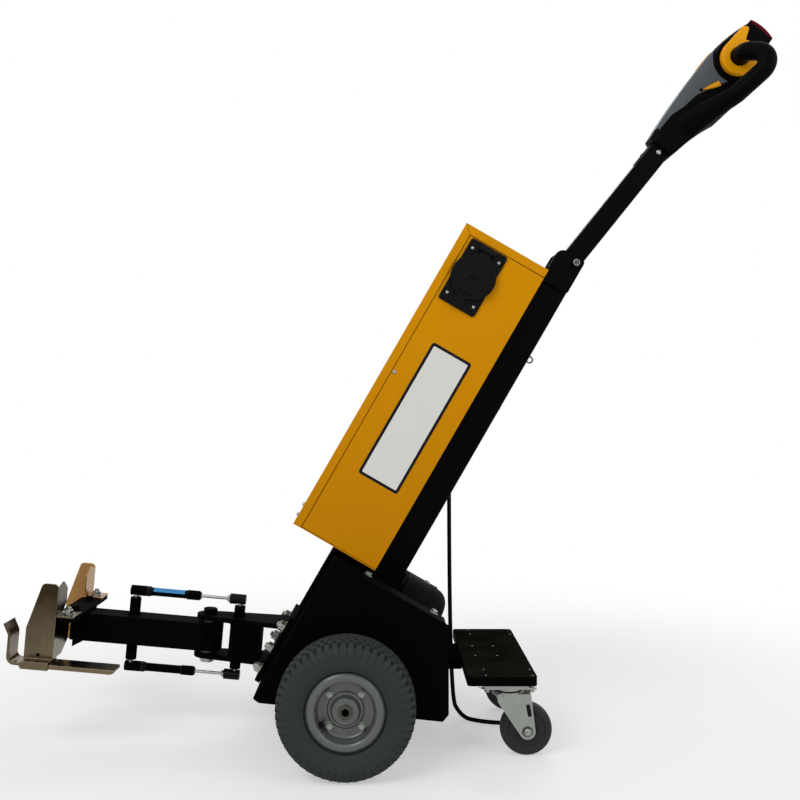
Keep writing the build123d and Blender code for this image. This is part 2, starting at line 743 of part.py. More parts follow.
# Shell with its two grip loops, which taper from the body's flank to a round bar that runs in to the hub
with BuildPart() as shell:
    add(head_form.part)
    add(face_block.part, mode=Mode.SUBTRACT)
    for side, tag in SIDES:
        foot, hip, knee, corner = (head_frame.from_local_coords((b, side * y, a))
                                   for a, b, y in (loop_foot, loop_hip, loop_knee, loop_corner))
        elbow = head_frame.from_local_coords((hub_b, side * loop_elbow_y, hub_a))
        root = head_frame.from_local_coords((hub_b, side * wing_inner, hub_a))
        with BuildSketch(Plane(origin=foot, x_dir=(0, 1, 0), z_dir=hip - foot)):
            Ellipse(*loop_foot_size)
        with BuildSketch(Plane(origin=hip, x_dir=(0, 1, 0), z_dir=knee - foot)):
            Ellipse(*loop_hip_size)
        with BuildSketch(Plane(origin=knee, x_dir=(0, 1, 0), z_dir=corner - knee)):
            Circle(grip_r)
        loft()
        with BuildLine() as loop_path:
            FilletPolyline(knee, corner, elbow, root, radius=loop_corner_r)
        with BuildSketch(Plane(origin=knee, x_dir=(0, 1, 0), z_dir=corner - knee)):
            Circle(grip_r)
        sweep(path=loop_path.line)
        with BuildSketch(head_side.offset(-side * wing_inner)):
            with Locations((hub_b, hub_a)):
                Circle(wing_r + wing_gap)
                Circle(wing_core_r, mode=Mode.SUBTRACT)
        extrude(amount=-side * (wing_thick + seat_gap), mode=Mode.SUBTRACT)
        with BuildSketch(head_side.offset(-side * (head_half - wing_gap))):
            with Locations((hub_b, hub_a)):
                Circle(hub_boss_r)
        extrude(amount=-side * (wing_inner - head_half))
        with BuildSketch(head_side.offset(-side * (head_half - wing_gap))):
            with Locations((hub_b, hub_a)):
                Circle(wing_core_r)
        extrude(amount=-side * (wing_inner + wing_thick + wing_core_lap - head_half))
    with BuildSketch(tiller_side):
        span(-tiller_ahead - tiller_size / 2 - socket_gap, -tiller_ahead + tiller_size / 2 + socket_gap, 0,
             tiller_long)
    extrude(amount=tiller_size / 2 + socket_gap, both=True, mode=Mode.SUBTRACT)
shell.part.label = "tiller_shell"
export_step(shell.part, "parts/tiller_shell.step")

# Throttle wings: a round boss with a thumb blade, one each side of the hub
with BuildPart() as wings:
    for side, tag in SIDES:
        wing_plane = head_side.offset(-side * wing_inner)
        with BuildSketch(wing_plane):
            with Locations((hub_b, hub_a)):
                Circle(wing_r)
            with BuildLine():
                Polyline((hub_b - wing_r, hub_a), (hub_b - wing_r + wing_gap, hub_a + wing_blade_in),
                         (hub_b - wing_blade_tip, hub_a + wing_blade_long),
                         (hub_b - wing_blade_root, hub_a + wing_blade_root_a), (hub_b, hub_a), close=True)
            make_face()
            with Locations((hub_b, hub_a)):
                Circle(wing_core_r + seat_gap, mode=Mode.SUBTRACT)
        extrude(amount=-side * wing_thick)
    blade_tips = wings.edges().filter_by(Axis.Y).group_by(Axis((0, 0, 0), head_frame.z_dir))[-1]
    fillet(blade_tips, radius=wing_tip_r)
    outer_faces = wings.faces().filter_by(Axis.Y).group_by(Axis.Y)
    fillet(outer_faces[0].edges() + outer_faces[-1].edges(), radius=wing_edge_r)
wings.part.label = "throttle_wings"
export_step(wings.part, "parts/throttle_wings.step")

with BuildPart() as button:
    with BuildSketch(head_side):
        with BuildLine():
            Polyline((front_end, head_long + button_side), (front_end, head_long), (back_end, head_long),
                     (back_end, head_long + button_side))
            ThreePointArc((front_end, head_long + button_side),
                          ((front_end + back_end) / 2, head_long + button_reach),
                          (back_end, head_long + button_side))
        make_face()
    extrude(amount=button_half, both=True)
    crown = button.faces().sort_by(Axis((0, 0, 0), head_frame.z_dir))[-1]
    fillet(crown.edges(), radius=button_edge_r)
button.part.label = "belly_button"
export_step(button.part, "parts/belly_button.step")

# Rear platform: folded tray, neck to the chassis and a spacer over each caster
platform_rear = caster_x + platform_over
platform_long = platform_rear - platform_front
with BuildPart() as platform:
    with BuildSketch(Plane.XY.offset(platform_z)):
        with Locations(((platform_front + platform_rear) / 2, 0)):
            RectangleRounded(platform_long, platform_wide, platform_corner)
    extrude(amount=-platform_skirt)
    with BuildSketch(Plane.XY.offset(platform_z - platform_skirt)):
        with Locations(((platform_front + platform_rear) / 2, 0)):
            RectangleRounded(platform_long - 2 * platform_sheet, platform_wide - 2 * platform_sheet,
                             platform_corner - platform_sheet)
    extrude(amount=platform_skirt - platform_sheet, mode=Mode.SUBTRACT)
platform.part.label = "rear_platform"
export_step(platform.part, "parts/rear_platform.step")

with BuildPart() as neck:
    with BuildSketch(Plane.YZ.offset(chassis_rear_x)):
        span(-neck_wide / 2, neck_wide / 2, platform_z - neck_thick, platform_z)
    extrude(amount=platform_front - chassis_rear_x)
neck.part.label = "platform_neck"
export_step(neck.part, "parts/platform_neck.step")

for side, tag in SIDES:
    kingpin = (caster_x, side * caster_y)
    plate_low = caster_plate_z - caster_plate
    race_low = plate_low - caster_race
    crown_top = race_low - seat_gap
    fork_half = caster_wheel_wide / 2 + fork_gap
    wheel_x = caster_x + caster_trail

    with BuildPart() as mount:
        with BuildSketch(Plane.XY.offset(caster_plate_z)):
            span(caster_x - caster_plate_long / 2, platform_rear - platform_sheet - platform_corner,
                 side * caster_y - caster_plate_wide / 2, side * caster_y + caster_plate_wide / 2)
        extrude(amount=platform_z - platform_sheet - caster_plate_z)
        with BuildSketch(Plane.XY.offset(caster_plate_z)):
            with Locations(kingpin):
                RectangleRounded(caster_plate_long, caster_plate_wide, caster_plate)
        extrude(amount=-caster_plate)
        with BuildSketch(Plane.XY.offset(plate_low)):
            with Locations(kingpin):
                Circle(caster_race_r)
        extrude(amount=-caster_race_cap)
        with BuildSketch(Plane.XY.offset(plate_low)):
            with Locations(kingpin):
                Circle(caster_race_neck_r)
        extrude(amount=-caster_race)
        with BuildSketch(Plane.XY.offset(race_low)):
            with Locations(kingpin):
                Circle(kingpin_r)
        extrude(amount=-(seat_gap + fork_crown))
    mount.part.label = f"caster_mount_{tag}"
    export_step(mount.part, f"parts/caster_mount_{tag}.step")

    with BuildPart() as fork:
        with BuildSketch(Plane.XY.offset(crown_top)):
            with Locations(kingpin):
                Circle(caster_race_r + fork_race_lip)
            span(caster_x - fork_front, caster_x + fork_rear, side * caster_y - fork_half - fork_leg,
                 side * caster_y + fork_half + fork_leg)
            with Locations(kingpin):
                Circle(kingpin_r + running_fit, mode=Mode.SUBTRACT)
        extrude(amount=-fork_crown)
        for leg in (-1, 1):
            leg_y = side * caster_y + leg * fork_half
            with BuildSketch(Plane.XZ.offset(-leg_y)):
                with BuildLine():
                    Polyline((caster_x - fork_front, crown_top - fork_side_drop),
                             (caster_x - fork_front, crown_top), (caster_x + fork_rear, crown_top))
                    CenterArc((wheel_x, caster_wheel_r), fork_eye_r, 0, 360)
                make_hull()
                with Locations((caster_x + fork_slot_x, fork_slot_z)):
                    SlotOverall(fork_slot_long, fork_slot_wide, rotation=fork_slot_lean, mode=Mode.SUBTRACT)
            extrude(amount=-leg * fork_leg)
        with BuildSketch(Plane.XZ.offset(-(side * caster_y - fork_half - fork_leg))):
            with Locations((wheel_x, caster_wheel_r)):
                Circle(caster_axle_r)
        extrude(amount=-2 * (fork_half + fork_leg))
    fork.part.label = f"caster_fork_{tag}"
    export_step(fork.part, f"parts/caster_fork_{tag}.step")

    with BuildPart() as roller:
        bore_r = caster_axle_r + running_fit
        wheel_half = caster_wheel_wide / 2
        boss_r = caster_axle_r + caster_hub_wall
        boss_half = fork_half - seat_gap
        edge_half = wheel_half - caster_edge
        edge_r = caster_wheel_r - caster_crown
        roller_origin = (wheel_x, side * caster_y, caster_wheel_r)
        with BuildSketch(Plane(origin=roller_origin, x_dir=(1, 0, 0), z_dir=(0, 0, 1))):
            with BuildLine():
                ThreePointArc((edge_r, -edge_half), (caster_wheel_r, 0), (edge_r, edge_half))
                Polyline((edge_r, edge_half), (edge_r - caster_edge, wheel_half),
                         (caster_web_r + caster_web_in, wheel_half),
                         (caster_web_r, wheel_half - caster_web_in), (boss_r, wheel_half - caster_web_in),
                         (boss_r, boss_half), (bore_r, boss_half), (bore_r, -boss_half), (boss_r, -boss_half),
                         (boss_r, -wheel_half + caster_web_in), (caster_web_r, -wheel_half + caster_web_in),
                         (caster_web_r + caster_web_in, -wheel_half), (edge_r - caster_edge, -wheel_half),
                         (edge_r, -edge_half))
            make_face()
        revolve(axis=Axis(roller_origin, (0, 1, 0)))
    roller.part.label = f"caster_wheel_{tag}"
    export_step(roller.part, f"parts/caster_wheel_{tag}.step")

# Hitch clevis on the chassis front, with its web tube, washers and spring posts
clevis_inner = clevis_gap / 2
clevis_outer = clevis_inner + clevis_plate
arm_half = arm_size / 2
back_face = chassis_front - clevis_back
with BuildPart() as clevis:
    for level, tag in LEVELS:
        with BuildSketch(hitch_frame.offset(level * clevis_inner)):
            with BuildLine():
                Polyline((0, clevis_round), (clevis_flare_x, clevis_wide_half),
                         (clevis_reach, clevis_wide_half), (clevis_reach, -clevis_wide_half),
                         (clevis_flare_x, -clevis_wide_half), (0, -clevis_round), close=True)
            make_face()
            Circle(clevis_round)
        extrude(amount=level * clevis_plate)
        with BuildSketch(hitch_frame.offset(level * (arm_half + seat_gap))):
            Circle(clevis_washer_r)
        extrude(amount=level * (clevis_inner - arm_half - seat_gap))
    with BuildSketch(hitch_frame):
        span(clevis_web_front, clevis_web_rear, -arm_half, arm_half)
    extrude(amount=clevis_inner, both=True)
    split(bisect_by=Plane(origin=mast_frame.from_local_coords((back_face, 0, 0)), z_dir=mast_frame.x_dir),
          keep=Keep.BOTTOM)
    with BuildSketch(mast_frame):
        span(back_face, chassis_front, clevis_back_low, clevis_back_high)
    extrude(amount=clevis_back_half, both=True)
    for level, tag in LEVELS:
        post_top = spring_z - post_gap
        with BuildSketch(hitch_frame.offset(level * clevis_outer)):
            with Locations((spring_clevis_x, 0)):
                Circle(post_r)
        extrude(amount=level * (post_top - clevis_outer))
        with BuildSketch(hitch_frame.offset(level * post_top)):
            with Locations((spring_clevis_x, 0)):
                Circle(stud_r)
        extrude(amount=level * post_gap)
        with Locations(hitch_frame.from_local_coords((spring_clevis_x, 0, level * spring_z))):
            Sphere(ball_r)
    with BuildSketch(hitch_frame.offset(-clevis_outer)):
        Circle(hitch_pin_r)
    extrude(amount=2 * clevis_outer, mode=Mode.SUBTRACT)
clevis.part.label = "clevis_bracket"
export_step(clevis.part, "parts/clevis_bracket.step")

with BuildPart() as pin:
    with BuildSketch(hitch_frame.offset(-clevis_outer)):
        Circle(hitch_pin_r)
    extrude(amount=2 * clevis_outer)
    for level, tag in LEVELS:
        with BuildSketch(hitch_frame.offset(level * clevis_outer)):
            RegularPolygon(hitch_pin_head_r, 6)
        extrude(amount=level * hitch_pin_head)
pin.part.label = "hitch_pin"
export_step(pin.part, "parts/hitch_pin.step")

# Hitch arm: square tube with a rounded tail, a bush for the pin and the front spring posts
with BuildPart() as arm:
    with BuildSketch(hitch_frame):
        span(arm_front, 0, -arm_half, arm_half)
        with Locations((arm_tail - arm_half, 0)):
            Circle(arm_half)
    extrude(amount=arm_half, both=True)
    with BuildSketch(hitch_frame):
        span(arm_front, -arm_bush_r - arm_bush_wall, -arm_half + arm_wall, arm_half - arm_wall)
    extrude(amount=arm_half - arm_wall, both=True, mode=Mode.SUBTRACT)
    with BuildSketch(hitch_frame):
        Circle(hitch_pin_r + running_fit)
    extrude(amount=arm_half, both=True, mode=Mode.SUBTRACT)
    for level, tag in LEVELS:
        with BuildSketch(hitch_frame.offset(level * arm_half)):
            with Locations((spring_arm_x, 0)):
                Circle(post_r)
        extrude(amount=level * (spring_z - post_gap - arm_half))
        with BuildSketch(hitch_frame.offset(level * (spring_z - post_gap))):
            with Locations((spring_arm_x, 0)):
                Circle(stud_r)
        extrude(amount=level * post_gap)
        with Locations(hitch_frame.from_local_coords((spring_arm_x, 0, level * spring_z))):
            Sphere(ball_r)
arm.part.label = "hitch_arm"
export_step(arm.part, "parts/hitch_arm.step")

# Gas springs: a cylinder on the arm's ball and a rod on the clevis ball
for level, tag in LEVELS:
    arm_ball = hitch_frame.from_local_coords((spring_arm_x, 0, level * spring_z))
    clevis_ball = hitch_frame.from_local_coords((spring_clevis_x, 0, level * spring_z))
    along = hitch_frame.x_dir
    with BuildPart() as cylinder:
        with BuildSketch(Plane(origin=arm_ball - along * ball_socket_back, x_dir=(0, 1, 0), z_dir=along)):
            Circle(ball_socket_r)
        extrude(amount=ball_socket_back + ball_socket_long)
        with BuildSketch(Plane(origin=arm_ball, x_dir=(0, 1, 0), z_dir=along)):
            Circle(cylinder_r)
        extrude(amount=cylinder_mouth - spring_arm_x)
        with BuildSketch(Plane(origin=arm_ball + along * (cylinder_mouth - spring_arm_x), x_dir=(0, 1, 0),
                               z_dir=-along)):
            Circle(sleeve_r)
        extrude(amount=sleeve_long)
        with BuildSketch(Plane(origin=arm_ball + along * (ball_socket_long + cylinder_end), x_dir=(0, 1, 0),
                               z_dir=along)):
            Circle(rod_r + rod_slack)
        extrude(amount=cylinder_mouth - spring_arm_x, mode=Mode.SUBTRACT)
        with Locations(arm_ball):
            Sphere(ball_r + seat_gap, mode=Mode.SUBTRACT)
        with BuildSketch(hitch_frame.offset(level * spring_z)):
            with Locations((spring_arm_x, 0)):
                Circle(stud_r + stud_gap)
        extrude(amount=-level * post_gap, mode=Mode.SUBTRACT)
    cylinder.part.label = f"spring_cylinder_{tag}"
    export_step(cylinder.part, f"parts/spring_cylinder_{tag}.step")

    with BuildPart() as rod:
        with BuildSketch(Plane(origin=clevis_ball + along * ball_socket_back, x_dir=(0, 1, 0), z_dir=-along)):
            Circle(ball_socket_r)
        extrude(amount=ball_socket_back + ball_socket_long)
        with BuildSketch(Plane(origin=clevis_ball, x_dir=(0, 1, 0), z_dir=-along)):
            Circle(rod_r)
        extrude(amount=spring_clevis_x - rod_tip)
        with Locations(clevis_ball):
            Sphere(ball_r + seat_gap, mode=Mode.SUBTRACT)
        with BuildSketch(hitch_frame.offset(level * spring_z)):
            with Locations((spring_clevis_x, 0)):
                Circle(stud_r + stud_gap)
        extrude(amount=-level * post_gap, mode=Mode.SUBTRACT)
    rod.part.label = f"spring_rod_{tag}"
    export_step(rod.part, f"parts/spring_rod_{tag}.step")

# Cross head on the arm's front end
with BuildPart() as cross:
    with BuildSketch(hitch_frame.offset(arm_half)):
        span(cross_front, cross_rear, -cross_half, cross_half)
    extrude(amount=cross_plate)
    with BuildSketch(hitch_side):
        with BuildLine():
            Polyline((arm_front, -arm_half), (gusset_rear, -arm_half), (arm_front, gusset_low), close=True)
        make_face()
    extrude(amount=gusset / 2, both=True)
cross.part.label = "hitch_crosshead"
export_step(cross.part, "parts/hitch_crosshead.step")

# Jaw brackets with the channel clip that carries each hook, and the sliding hooks
cross_top = arm_half + cross_plate
clip_half = hook_wide / 2 + clip_side_gap + clip_wall
clip_low = hook_z - hook_channel_deep - seat_gap - clip_wall
for side, tag in SIDES:
    with BuildPart() as jaw:
        plate_in = jaw_y - jaw_sheet
        with BuildSketch(hitch_side.offset(-side * jaw_y)) as jaw_side:
            with BuildLine():
                Polyline((jaw_front, jaw_low), (jaw_rear, jaw_low), (jaw_rear, jaw_top),
                         (jaw_top_front, jaw_top), (jaw_front, jaw_nose_z), close=True)
            make_face()
            fillet(jaw_side.vertices().group_by(Axis.Y)[-1], radius=jaw_corner_r)
            with Locations((jaw_hole_x, jaw_low + jaw_hole_up)):
                Circle(jaw_hole_r, mode=Mode.SUBTRACT)
        extrude(amount=side * jaw_sheet)
        with BuildSketch(hitch_frame.offset(cross_top)):
            span(cross_front, cross_rear, side * (plate_in - jaw_foot), side * plate_in)
        extrude(amount=jaw_sheet)
        jaw_back = Plane(origin=hitch_frame.from_local_coords((jaw_rear, 0, 0)), x_dir=(0, 1, 0),
                         z_dir=hitch_frame.x_dir)
        with BuildSketch(jaw_back):
            with BuildLine():
                Polyline((side * jaw_web_inner, arm_half), (side * jaw_web_inner, jaw_low + jaw_web_cut_z),
                         (side * (jaw_web_inner + jaw_web_cut), jaw_low), (side * plate_in, jaw_low),
                         (side * plate_in, arm_half), close=True)
            make_face()
            with BuildLine():
                Polyline((side * plate_in, cross_top), (side * (jaw_y - jaw_flange_top), cross_top),
                         (side * (jaw_y - jaw_flange), cross_top + jaw_flange_low),
                         (side * (jaw_y - jaw_flange), jaw_top - jaw_flange_cut),
                         (side * (jaw_y - jaw_flange_top), jaw_top),
                         (side * plate_in, jaw_top - jaw_corner_r), close=True)
            make_face()
        extrude(amount=-jaw_sheet)
        with BuildSketch(hitch_frame.offset(clip_low)):
            span(jaw_front + clip_front_gap, jaw_rear, side * jaw_y - clip_half, side * jaw_y + clip_half)
        extrude(amount=jaw_low - clip_low)
        with BuildSketch(hitch_frame.offset(clip_low + clip_wall)):
            span(jaw_front, jaw_rear + clip_front_gap, side * jaw_y - clip_half + clip_wall,
                 side * jaw_y + clip_half - clip_wall)
        extrude(amount=hook_z + seat_gap - clip_low - clip_wall, mode=Mode.SUBTRACT)
    jaw.part.label = f"jaw_bracket_{tag}"
    export_step(jaw.part, f"parts/jaw_bracket_{tag}.step")

    with BuildPart() as hook:
        strip_z = hook_z - hook_bar / 2
        strip_x = hook_face + hook_bar / 2
        with BuildSketch(hitch_side.offset(-side * jaw_y)):
            with BuildLine():
                FilletPolyline((hook_tail, strip_z), (strip_x, strip_z), (strip_x, hook_high),
                               (hook_lip_x + hook_bar / 2, hook_lip_z), radius=hook_bend_r)
            trace(line_width=hook_bar)
        extrude(amount=hook_wide / 2, both=True)
        for wall in (-1, 1):
            with BuildSketch(hitch_side.offset(-side * jaw_y + wall * hook_wide / 2)):
                with BuildLine():
                    Polyline((hook_channel_front, hook_z - hook_bar), (hook_tail, hook_z - hook_bar),
                             (hook_tail - hook_tail_cut, hook_z - hook_channel_deep),
                             (hook_channel_front, hook_z - hook_channel_deep), close=True)
                make_face()
            extrude(amount=-wall * hook_channel_wall)
    hook.part.label = f"hook_bar_{tag}"
    export_step(hook.part, f"parts/hook_bar_{tag}.step")

# Cord elbow on the back of the box, and the drag cord hanging from it
elbow_v = (cord_x - mast_x) * cos(lean) - (elbow_z - mast_z) * sin(lean)
elbow_u = (cord_x - mast_x) * sin(lean) + (elbow_z - mast_z) * cos(lean)
panel_x, panel_z = leaned(0, elbow_u)
with BuildPart() as elbow:
    with BuildSketch(Plane(origin=(panel_x, cord_y, panel_z), x_dir=(0, 1, 0), z_dir=mast_frame.x_dir)):
        Circle(elbow_r)
    extrude(amount=elbow_v)
    with Locations((cord_x, cord_y, elbow_z)):
        Sphere(elbow_r)
        Cone(elbow_r, elbow_tip_r, elbow_drop, rotation=(180, 0, 0),
             align=(Align.CENTER, Align.CENTER, Align.MIN))
elbow.part.label = "cord_elbow"
export_step(elbow.part, "parts/cord_elbow.step")

cord_lift = cord_d / 2 + floor_gap
cord_route = (
    (cord_x, cord_y, elbow_z - elbow_drop),
    (cord_x, cord_y, 46),
    (cord_x + 23.5, cord_y - 13, cord_lift + 2),
    (cord_x + 53.5, cord_y - 29, cord_lift),
    (cord_x + 85.5, cord_y - 39, cord_lift),
    (cord_x + 111.5, cord_y - 42, cord_lift),
)
runs = [Vector(*b) - Vector(*a) for a, b in zip(cord_route, cord_route[1:])]
cord_radii = [0.45 * min(before.length, after.length) / tan(radians(before.get_angle(after) / 2))
              for before, after in zip(runs, runs[1:])]
print("cord radii", [round(radius, 1) for radius in cord_radii])
with BuildPart() as cord:
    with BuildLine() as cord_path:
        FilletPolyline(*cord_route, radius=cord_radii)
    with BuildSketch(Plane(origin=cord_route[0], z_dir=(0, 0, -1))):
        Circle(cord_d / 2)
    sweep(path=cord_path.line)
cord.part.label = "drag_cord"
export_step(cord.part, "parts/drag_cord.step")
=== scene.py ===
"""Looks of a walk-behind electric cart tugger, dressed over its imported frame.

Metres, +Z up, the hitch towards -X and the tiller towards +X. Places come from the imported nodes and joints.
Local places and the sizes of pieces are in millimetres.
"""
import json
from math import cos, pi, radians, sin

import bmesh
import bpy
import numpy as np
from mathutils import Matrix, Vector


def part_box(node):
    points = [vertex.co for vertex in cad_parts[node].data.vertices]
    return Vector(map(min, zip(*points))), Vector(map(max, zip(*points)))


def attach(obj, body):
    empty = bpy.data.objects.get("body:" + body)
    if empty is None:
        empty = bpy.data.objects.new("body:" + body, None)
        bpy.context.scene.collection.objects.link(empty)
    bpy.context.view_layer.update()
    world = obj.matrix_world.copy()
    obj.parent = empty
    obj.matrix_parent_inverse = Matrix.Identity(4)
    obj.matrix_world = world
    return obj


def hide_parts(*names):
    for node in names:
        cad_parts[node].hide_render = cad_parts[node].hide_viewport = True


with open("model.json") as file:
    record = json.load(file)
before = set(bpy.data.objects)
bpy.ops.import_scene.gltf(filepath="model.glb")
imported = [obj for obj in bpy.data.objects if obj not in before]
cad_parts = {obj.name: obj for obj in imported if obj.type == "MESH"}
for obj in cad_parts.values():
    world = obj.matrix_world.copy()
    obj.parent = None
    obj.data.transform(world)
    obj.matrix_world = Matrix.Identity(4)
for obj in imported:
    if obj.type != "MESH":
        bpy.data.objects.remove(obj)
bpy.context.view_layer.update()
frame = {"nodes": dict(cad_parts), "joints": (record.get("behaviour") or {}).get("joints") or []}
nodes = frame["nodes"]
joints = {joint["name"]: joint for joint in frame["joints"]}
MM = 0.001
BOTH = (-1, 1)
SIDES = ((-1, "left"), (1, "right"))
LEVELS = ((1, "upper"), (-1, "lower"))
UPWARD = (0, 0, 1)
LEFTWARD = (0, -1, 0)


# Frames of reference: an origin and three directions, each as a row

def unit(vector):
    """A direction of length one."""
    return np.asarray(vector, float) / np.linalg.norm(vector)


class Frame:
    """A set of axes on the machine. at() turns local places into metres in the part's frame."""

    def __init__(self, origin, x_axis, z_axis):
        self.origin = np.asarray(origin, float)
        self.axes = np.array([unit(x_axis), unit(np.cross(z_axis, x_axis)), unit(z_axis)])

    def at(self, *place):
        return self.origin + np.asarray(np.broadcast_arrays(*place)).T * MM @ self.axes

    def each(self, xs, ys, zs):
        """Places at every combination of some local coordinates."""
        return self.at(*(values.ravel() for values in np.meshgrid(xs, ys, zs, indexing="ij")))

    def local(self, points):
        """Local coordinates, in millimetres, of places in metres."""
        return (points - self.origin) @ self.axes.T / MM


def node_points(name):
    """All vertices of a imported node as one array."""
    vertices = nodes[name].data.vertices
    flat = np.empty(len(vertices) * 3)
    vertices.foreach_get("co", flat)
    return flat.reshape(-1, 3)


def joint_place(name):
    """Place of a joint, in millimetres."""
    return np.array(joints[name]["pos_m"]) / MM


TILLER_LEAN = radians(38.8)
HEAD_LEAN = radians(41)
HEAD_FOOT = (-8.5, 275.7, 0)

lean_across = -unit(joints["lid_hinge"]["axis"])
swing_axis = unit(joints["hitch_swing"]["axis"])
box_points = node_points("battery_box_cover")
box_up = unit(np.cross(lean_across, (0, 1, 0)))
box_origin = lean_across * (box_points @ lean_across).max() + box_up * (box_points @ box_up).min()
# Battery box: x behind its back, y up the mast from its lower edge, z to the left
box = Frame(box_origin, lean_across, LEFTWARD)
# Hitch: x behind the swing pin, y to the right, z along the pin
hitch = Frame(joints["hitch_swing"]["pos_m"], unit(np.cross((0, 1, 0), swing_axis)), swing_axis)
# Tiller tube and tiller head: x behind, y up along it, z to the left
tiller = Frame(joints["handle_tilt"]["pos_m"], (cos(TILLER_LEAN), 0, -sin(TILLER_LEAN)), LEFTWARD)
head = Frame(tiller.at(*HEAD_FOOT), (cos(HEAD_LEAN), 0, -sin(HEAD_LEAN)), LEFTWARD)
# Drive wheels: x behind the axle, z outwards
wheels = {tag: Frame(joints[f"drive_wheel_{tag}_spin"]["pos_m"], (1, 0, 0), (0, side, 0))
          for side, tag in SIDES}
floor = Frame((0, 0, 0), (1, 0, 0), UPWARD)


# Surfaces: points on a grid, worked out as whole arrays

def around(steps):
    """Angles of one turn, in equal steps."""
    return np.linspace(0, 2 * pi, steps, endpoint=False)


def directions(rows):
    """Rows brought to length one."""
    return rows / np.linalg.norm(rows, axis=1)[:, None]


def grid_quads(rows, columns, wrap_rows=False):
    """Quads between neighbours of a grid, whose columns join up. With wrap_rows its rows join up too."""
    row = np.arange(rows if wrap_rows else rows - 1)
    i, j = np.meshgrid(row, np.arange(columns), indexing="ij")
    down = (i + 1) % rows
    right = (j + 1) % columns
    corners = (i * columns + j, i * columns + right, down * columns + right, down * columns + j)
    return np.stack(corners, axis=-1).reshape(-1, 4)


def surface(grid, wrap_rows=False):
    """Points and quads of a grid of places, rows by columns by three."""
    return grid.reshape(-1, 3), grid_quads(*grid.shape[:2], wrap_rows)


def capped(grid):
    """Surface whose first and last rows are closed to their middles."""
    ends = [np.broadcast_to(grid[k].mean(axis=0), grid[k].shape) for k in (0, -1)]
    return surface(np.concatenate([ends[0][None], grid, ends[1][None]]))


def across(axis):
    """Two directions square to an axis."""
    axis = unit(axis)
    helper = UPWARD if abs(axis[2]) < 0.9 else (1, 0, 0)
    first = unit(np.cross(helper, axis))
    return first, np.cross(axis, first)


def lathe(profile, origin, axis, steps=32, wrap_rows=False, lobes=None):
    """Profile of (radius, height) rows carried round an axis.

    Point = origin + height * axis + radius * (cos t * first + sin t * second), t in equal steps of a turn.
    lobes(t, row) scales the radius, for heads that aren't round.
    """
    radius, height = np.asarray(profile, float).T * MM
    turn = around(steps)
    first, second = across(axis)
    circle = np.cos(turn)[:, None] * first + np.sin(turn)[:, None] * second
    reach = np.repeat(radius[:, None], steps, axis=1)
    if lobes is not None:
        reach = reach * lobes(turn[None, :], np.arange(len(radius))[:, None])
    grid = np.asarray(origin) + reach[..., None] * circle + height[:, None, None] * unit(axis)
    return surface(grid, wrap_rows)


def six_sided(*shares):
    """Lobes that make each row of a profile a hexagon by its share, and keep it round where that is 0.

    Scale = 1 + share * (1 / cos(angle from the nearest flat's middle) - 1).
    """
    share = np.array(shares)

    def lobes(turn, row):
        hexagon = 1 / np.cos(np.mod(turn + pi / 6, pi / 3) - pi / 6)
        return 1 + share[row] * (hexagon - 1)

    return lobes


def hex_head(origin, axis, flats, high):
    """Bolt head or nut: a hexagon whose top edge is turned round by the chamfer."""
    half = flats / 2
    profile = ((0, high), (half * 0.9, high), (half * 1.02, high * 0.86), (half, high * 0.8), (half, 0),
               (0, 0))
    return lathe(profile, origin, axis, 24, lobes=six_sided(0, 0, 0.4, 1, 1, 0))


def washer(origin, axis, radius, thick):
    """Flat disc with an eased top edge."""
    ease = min(0.3, thick / 2)
    profile = ((0, thick), (radius - ease, thick), (radius, thick - ease), (radius, 0), (0, 0))
    return lathe(profile, origin, axis, 28)


def bolt(origin, axis, flats, high, washer_r=0.0, washer_thick=1.6, end_r=0.0, end_high=3.0):
    """Hex head on a washer. With an end radius it is a nut, and the bolt's end stands out of it."""
    lift = washer_thick if washer_r else 0
    seat = np.asarray(origin) + unit(axis) * lift * MM
    surfaces = [hex_head(seat, axis, flats, high)]
    if washer_r:
        surfaces.append(washer(origin, axis, washer_r, washer_thick))
    if end_r:
        top = high + end_high
        foot = high * 0.9
        thread = ((0, top), (end_r * 0.75, top), (end_r, top - end_r * 0.3), (end_r, foot), (0, foot))
        surfaces.append(lathe(thread, seat, axis, 20))
    return surfaces


def bolts(seats, axis, flats, high, **more):
    """The same bolt on each of several seats."""
    return [part for seat in seats for part in bolt(seat, axis, flats, high, **more)]


def dome_screw(origin, axis, radius, high):
    """Round-headed screw: a quarter ellipse turned about its axis, with a six-sided socket in its top."""
    arc = np.linspace(0, pi / 2, 7)[2:]
    socket = radius * 0.42
    sunk = high * 0.45
    rim_high = high * np.sqrt(1 - 0.5 ** 2)
    dome = zip(radius * np.sin(arc), high * np.cos(arc))
    rows = [(0, sunk), (socket, sunk), (socket, rim_high), *dome, (0, 0)]
    return lathe(rows, origin, axis, 24, lobes=six_sided(0, 0.8, 0.8, *[0] * (len(rows) - 3)))


def dome_screws(seats, axis, radius, high):
    """The same round-headed screw on each of several seats."""
    return [dome_screw(seat, axis, radius, high) for seat in seats]


def ring(inner, outer, low, high, origin, axis, ease=0.5, steps=40, lobes=None):
    """Collar with a hole: a closed rectangle with eased outer corners, turned about an axis."""
    profile = ((inner, high), (outer - ease, high), (outer, high - ease), (outer, low + ease),
               (outer - ease, low), (inner, low))
    return lathe(profile, origin, axis, steps, wrap_rows=True, lobes=lobes)


RING_ROWS = 6
HEX_RING = six_sided(*[1] * RING_ROWS)
SOFT_HEX_RING = six_sided(*[0.9] * RING_ROWS)


def round_ring(radius, bead, origin, axis, steps=48):
    """Ring of round wire: a circle of the bead's radius turned about an axis."""
    turn = around(12)
    section = np.stack([radius + bead * np.cos(turn), bead * np.sin(turn)], axis=-1)
    return lathe(section, origin, axis, steps, wrap_rows=True)


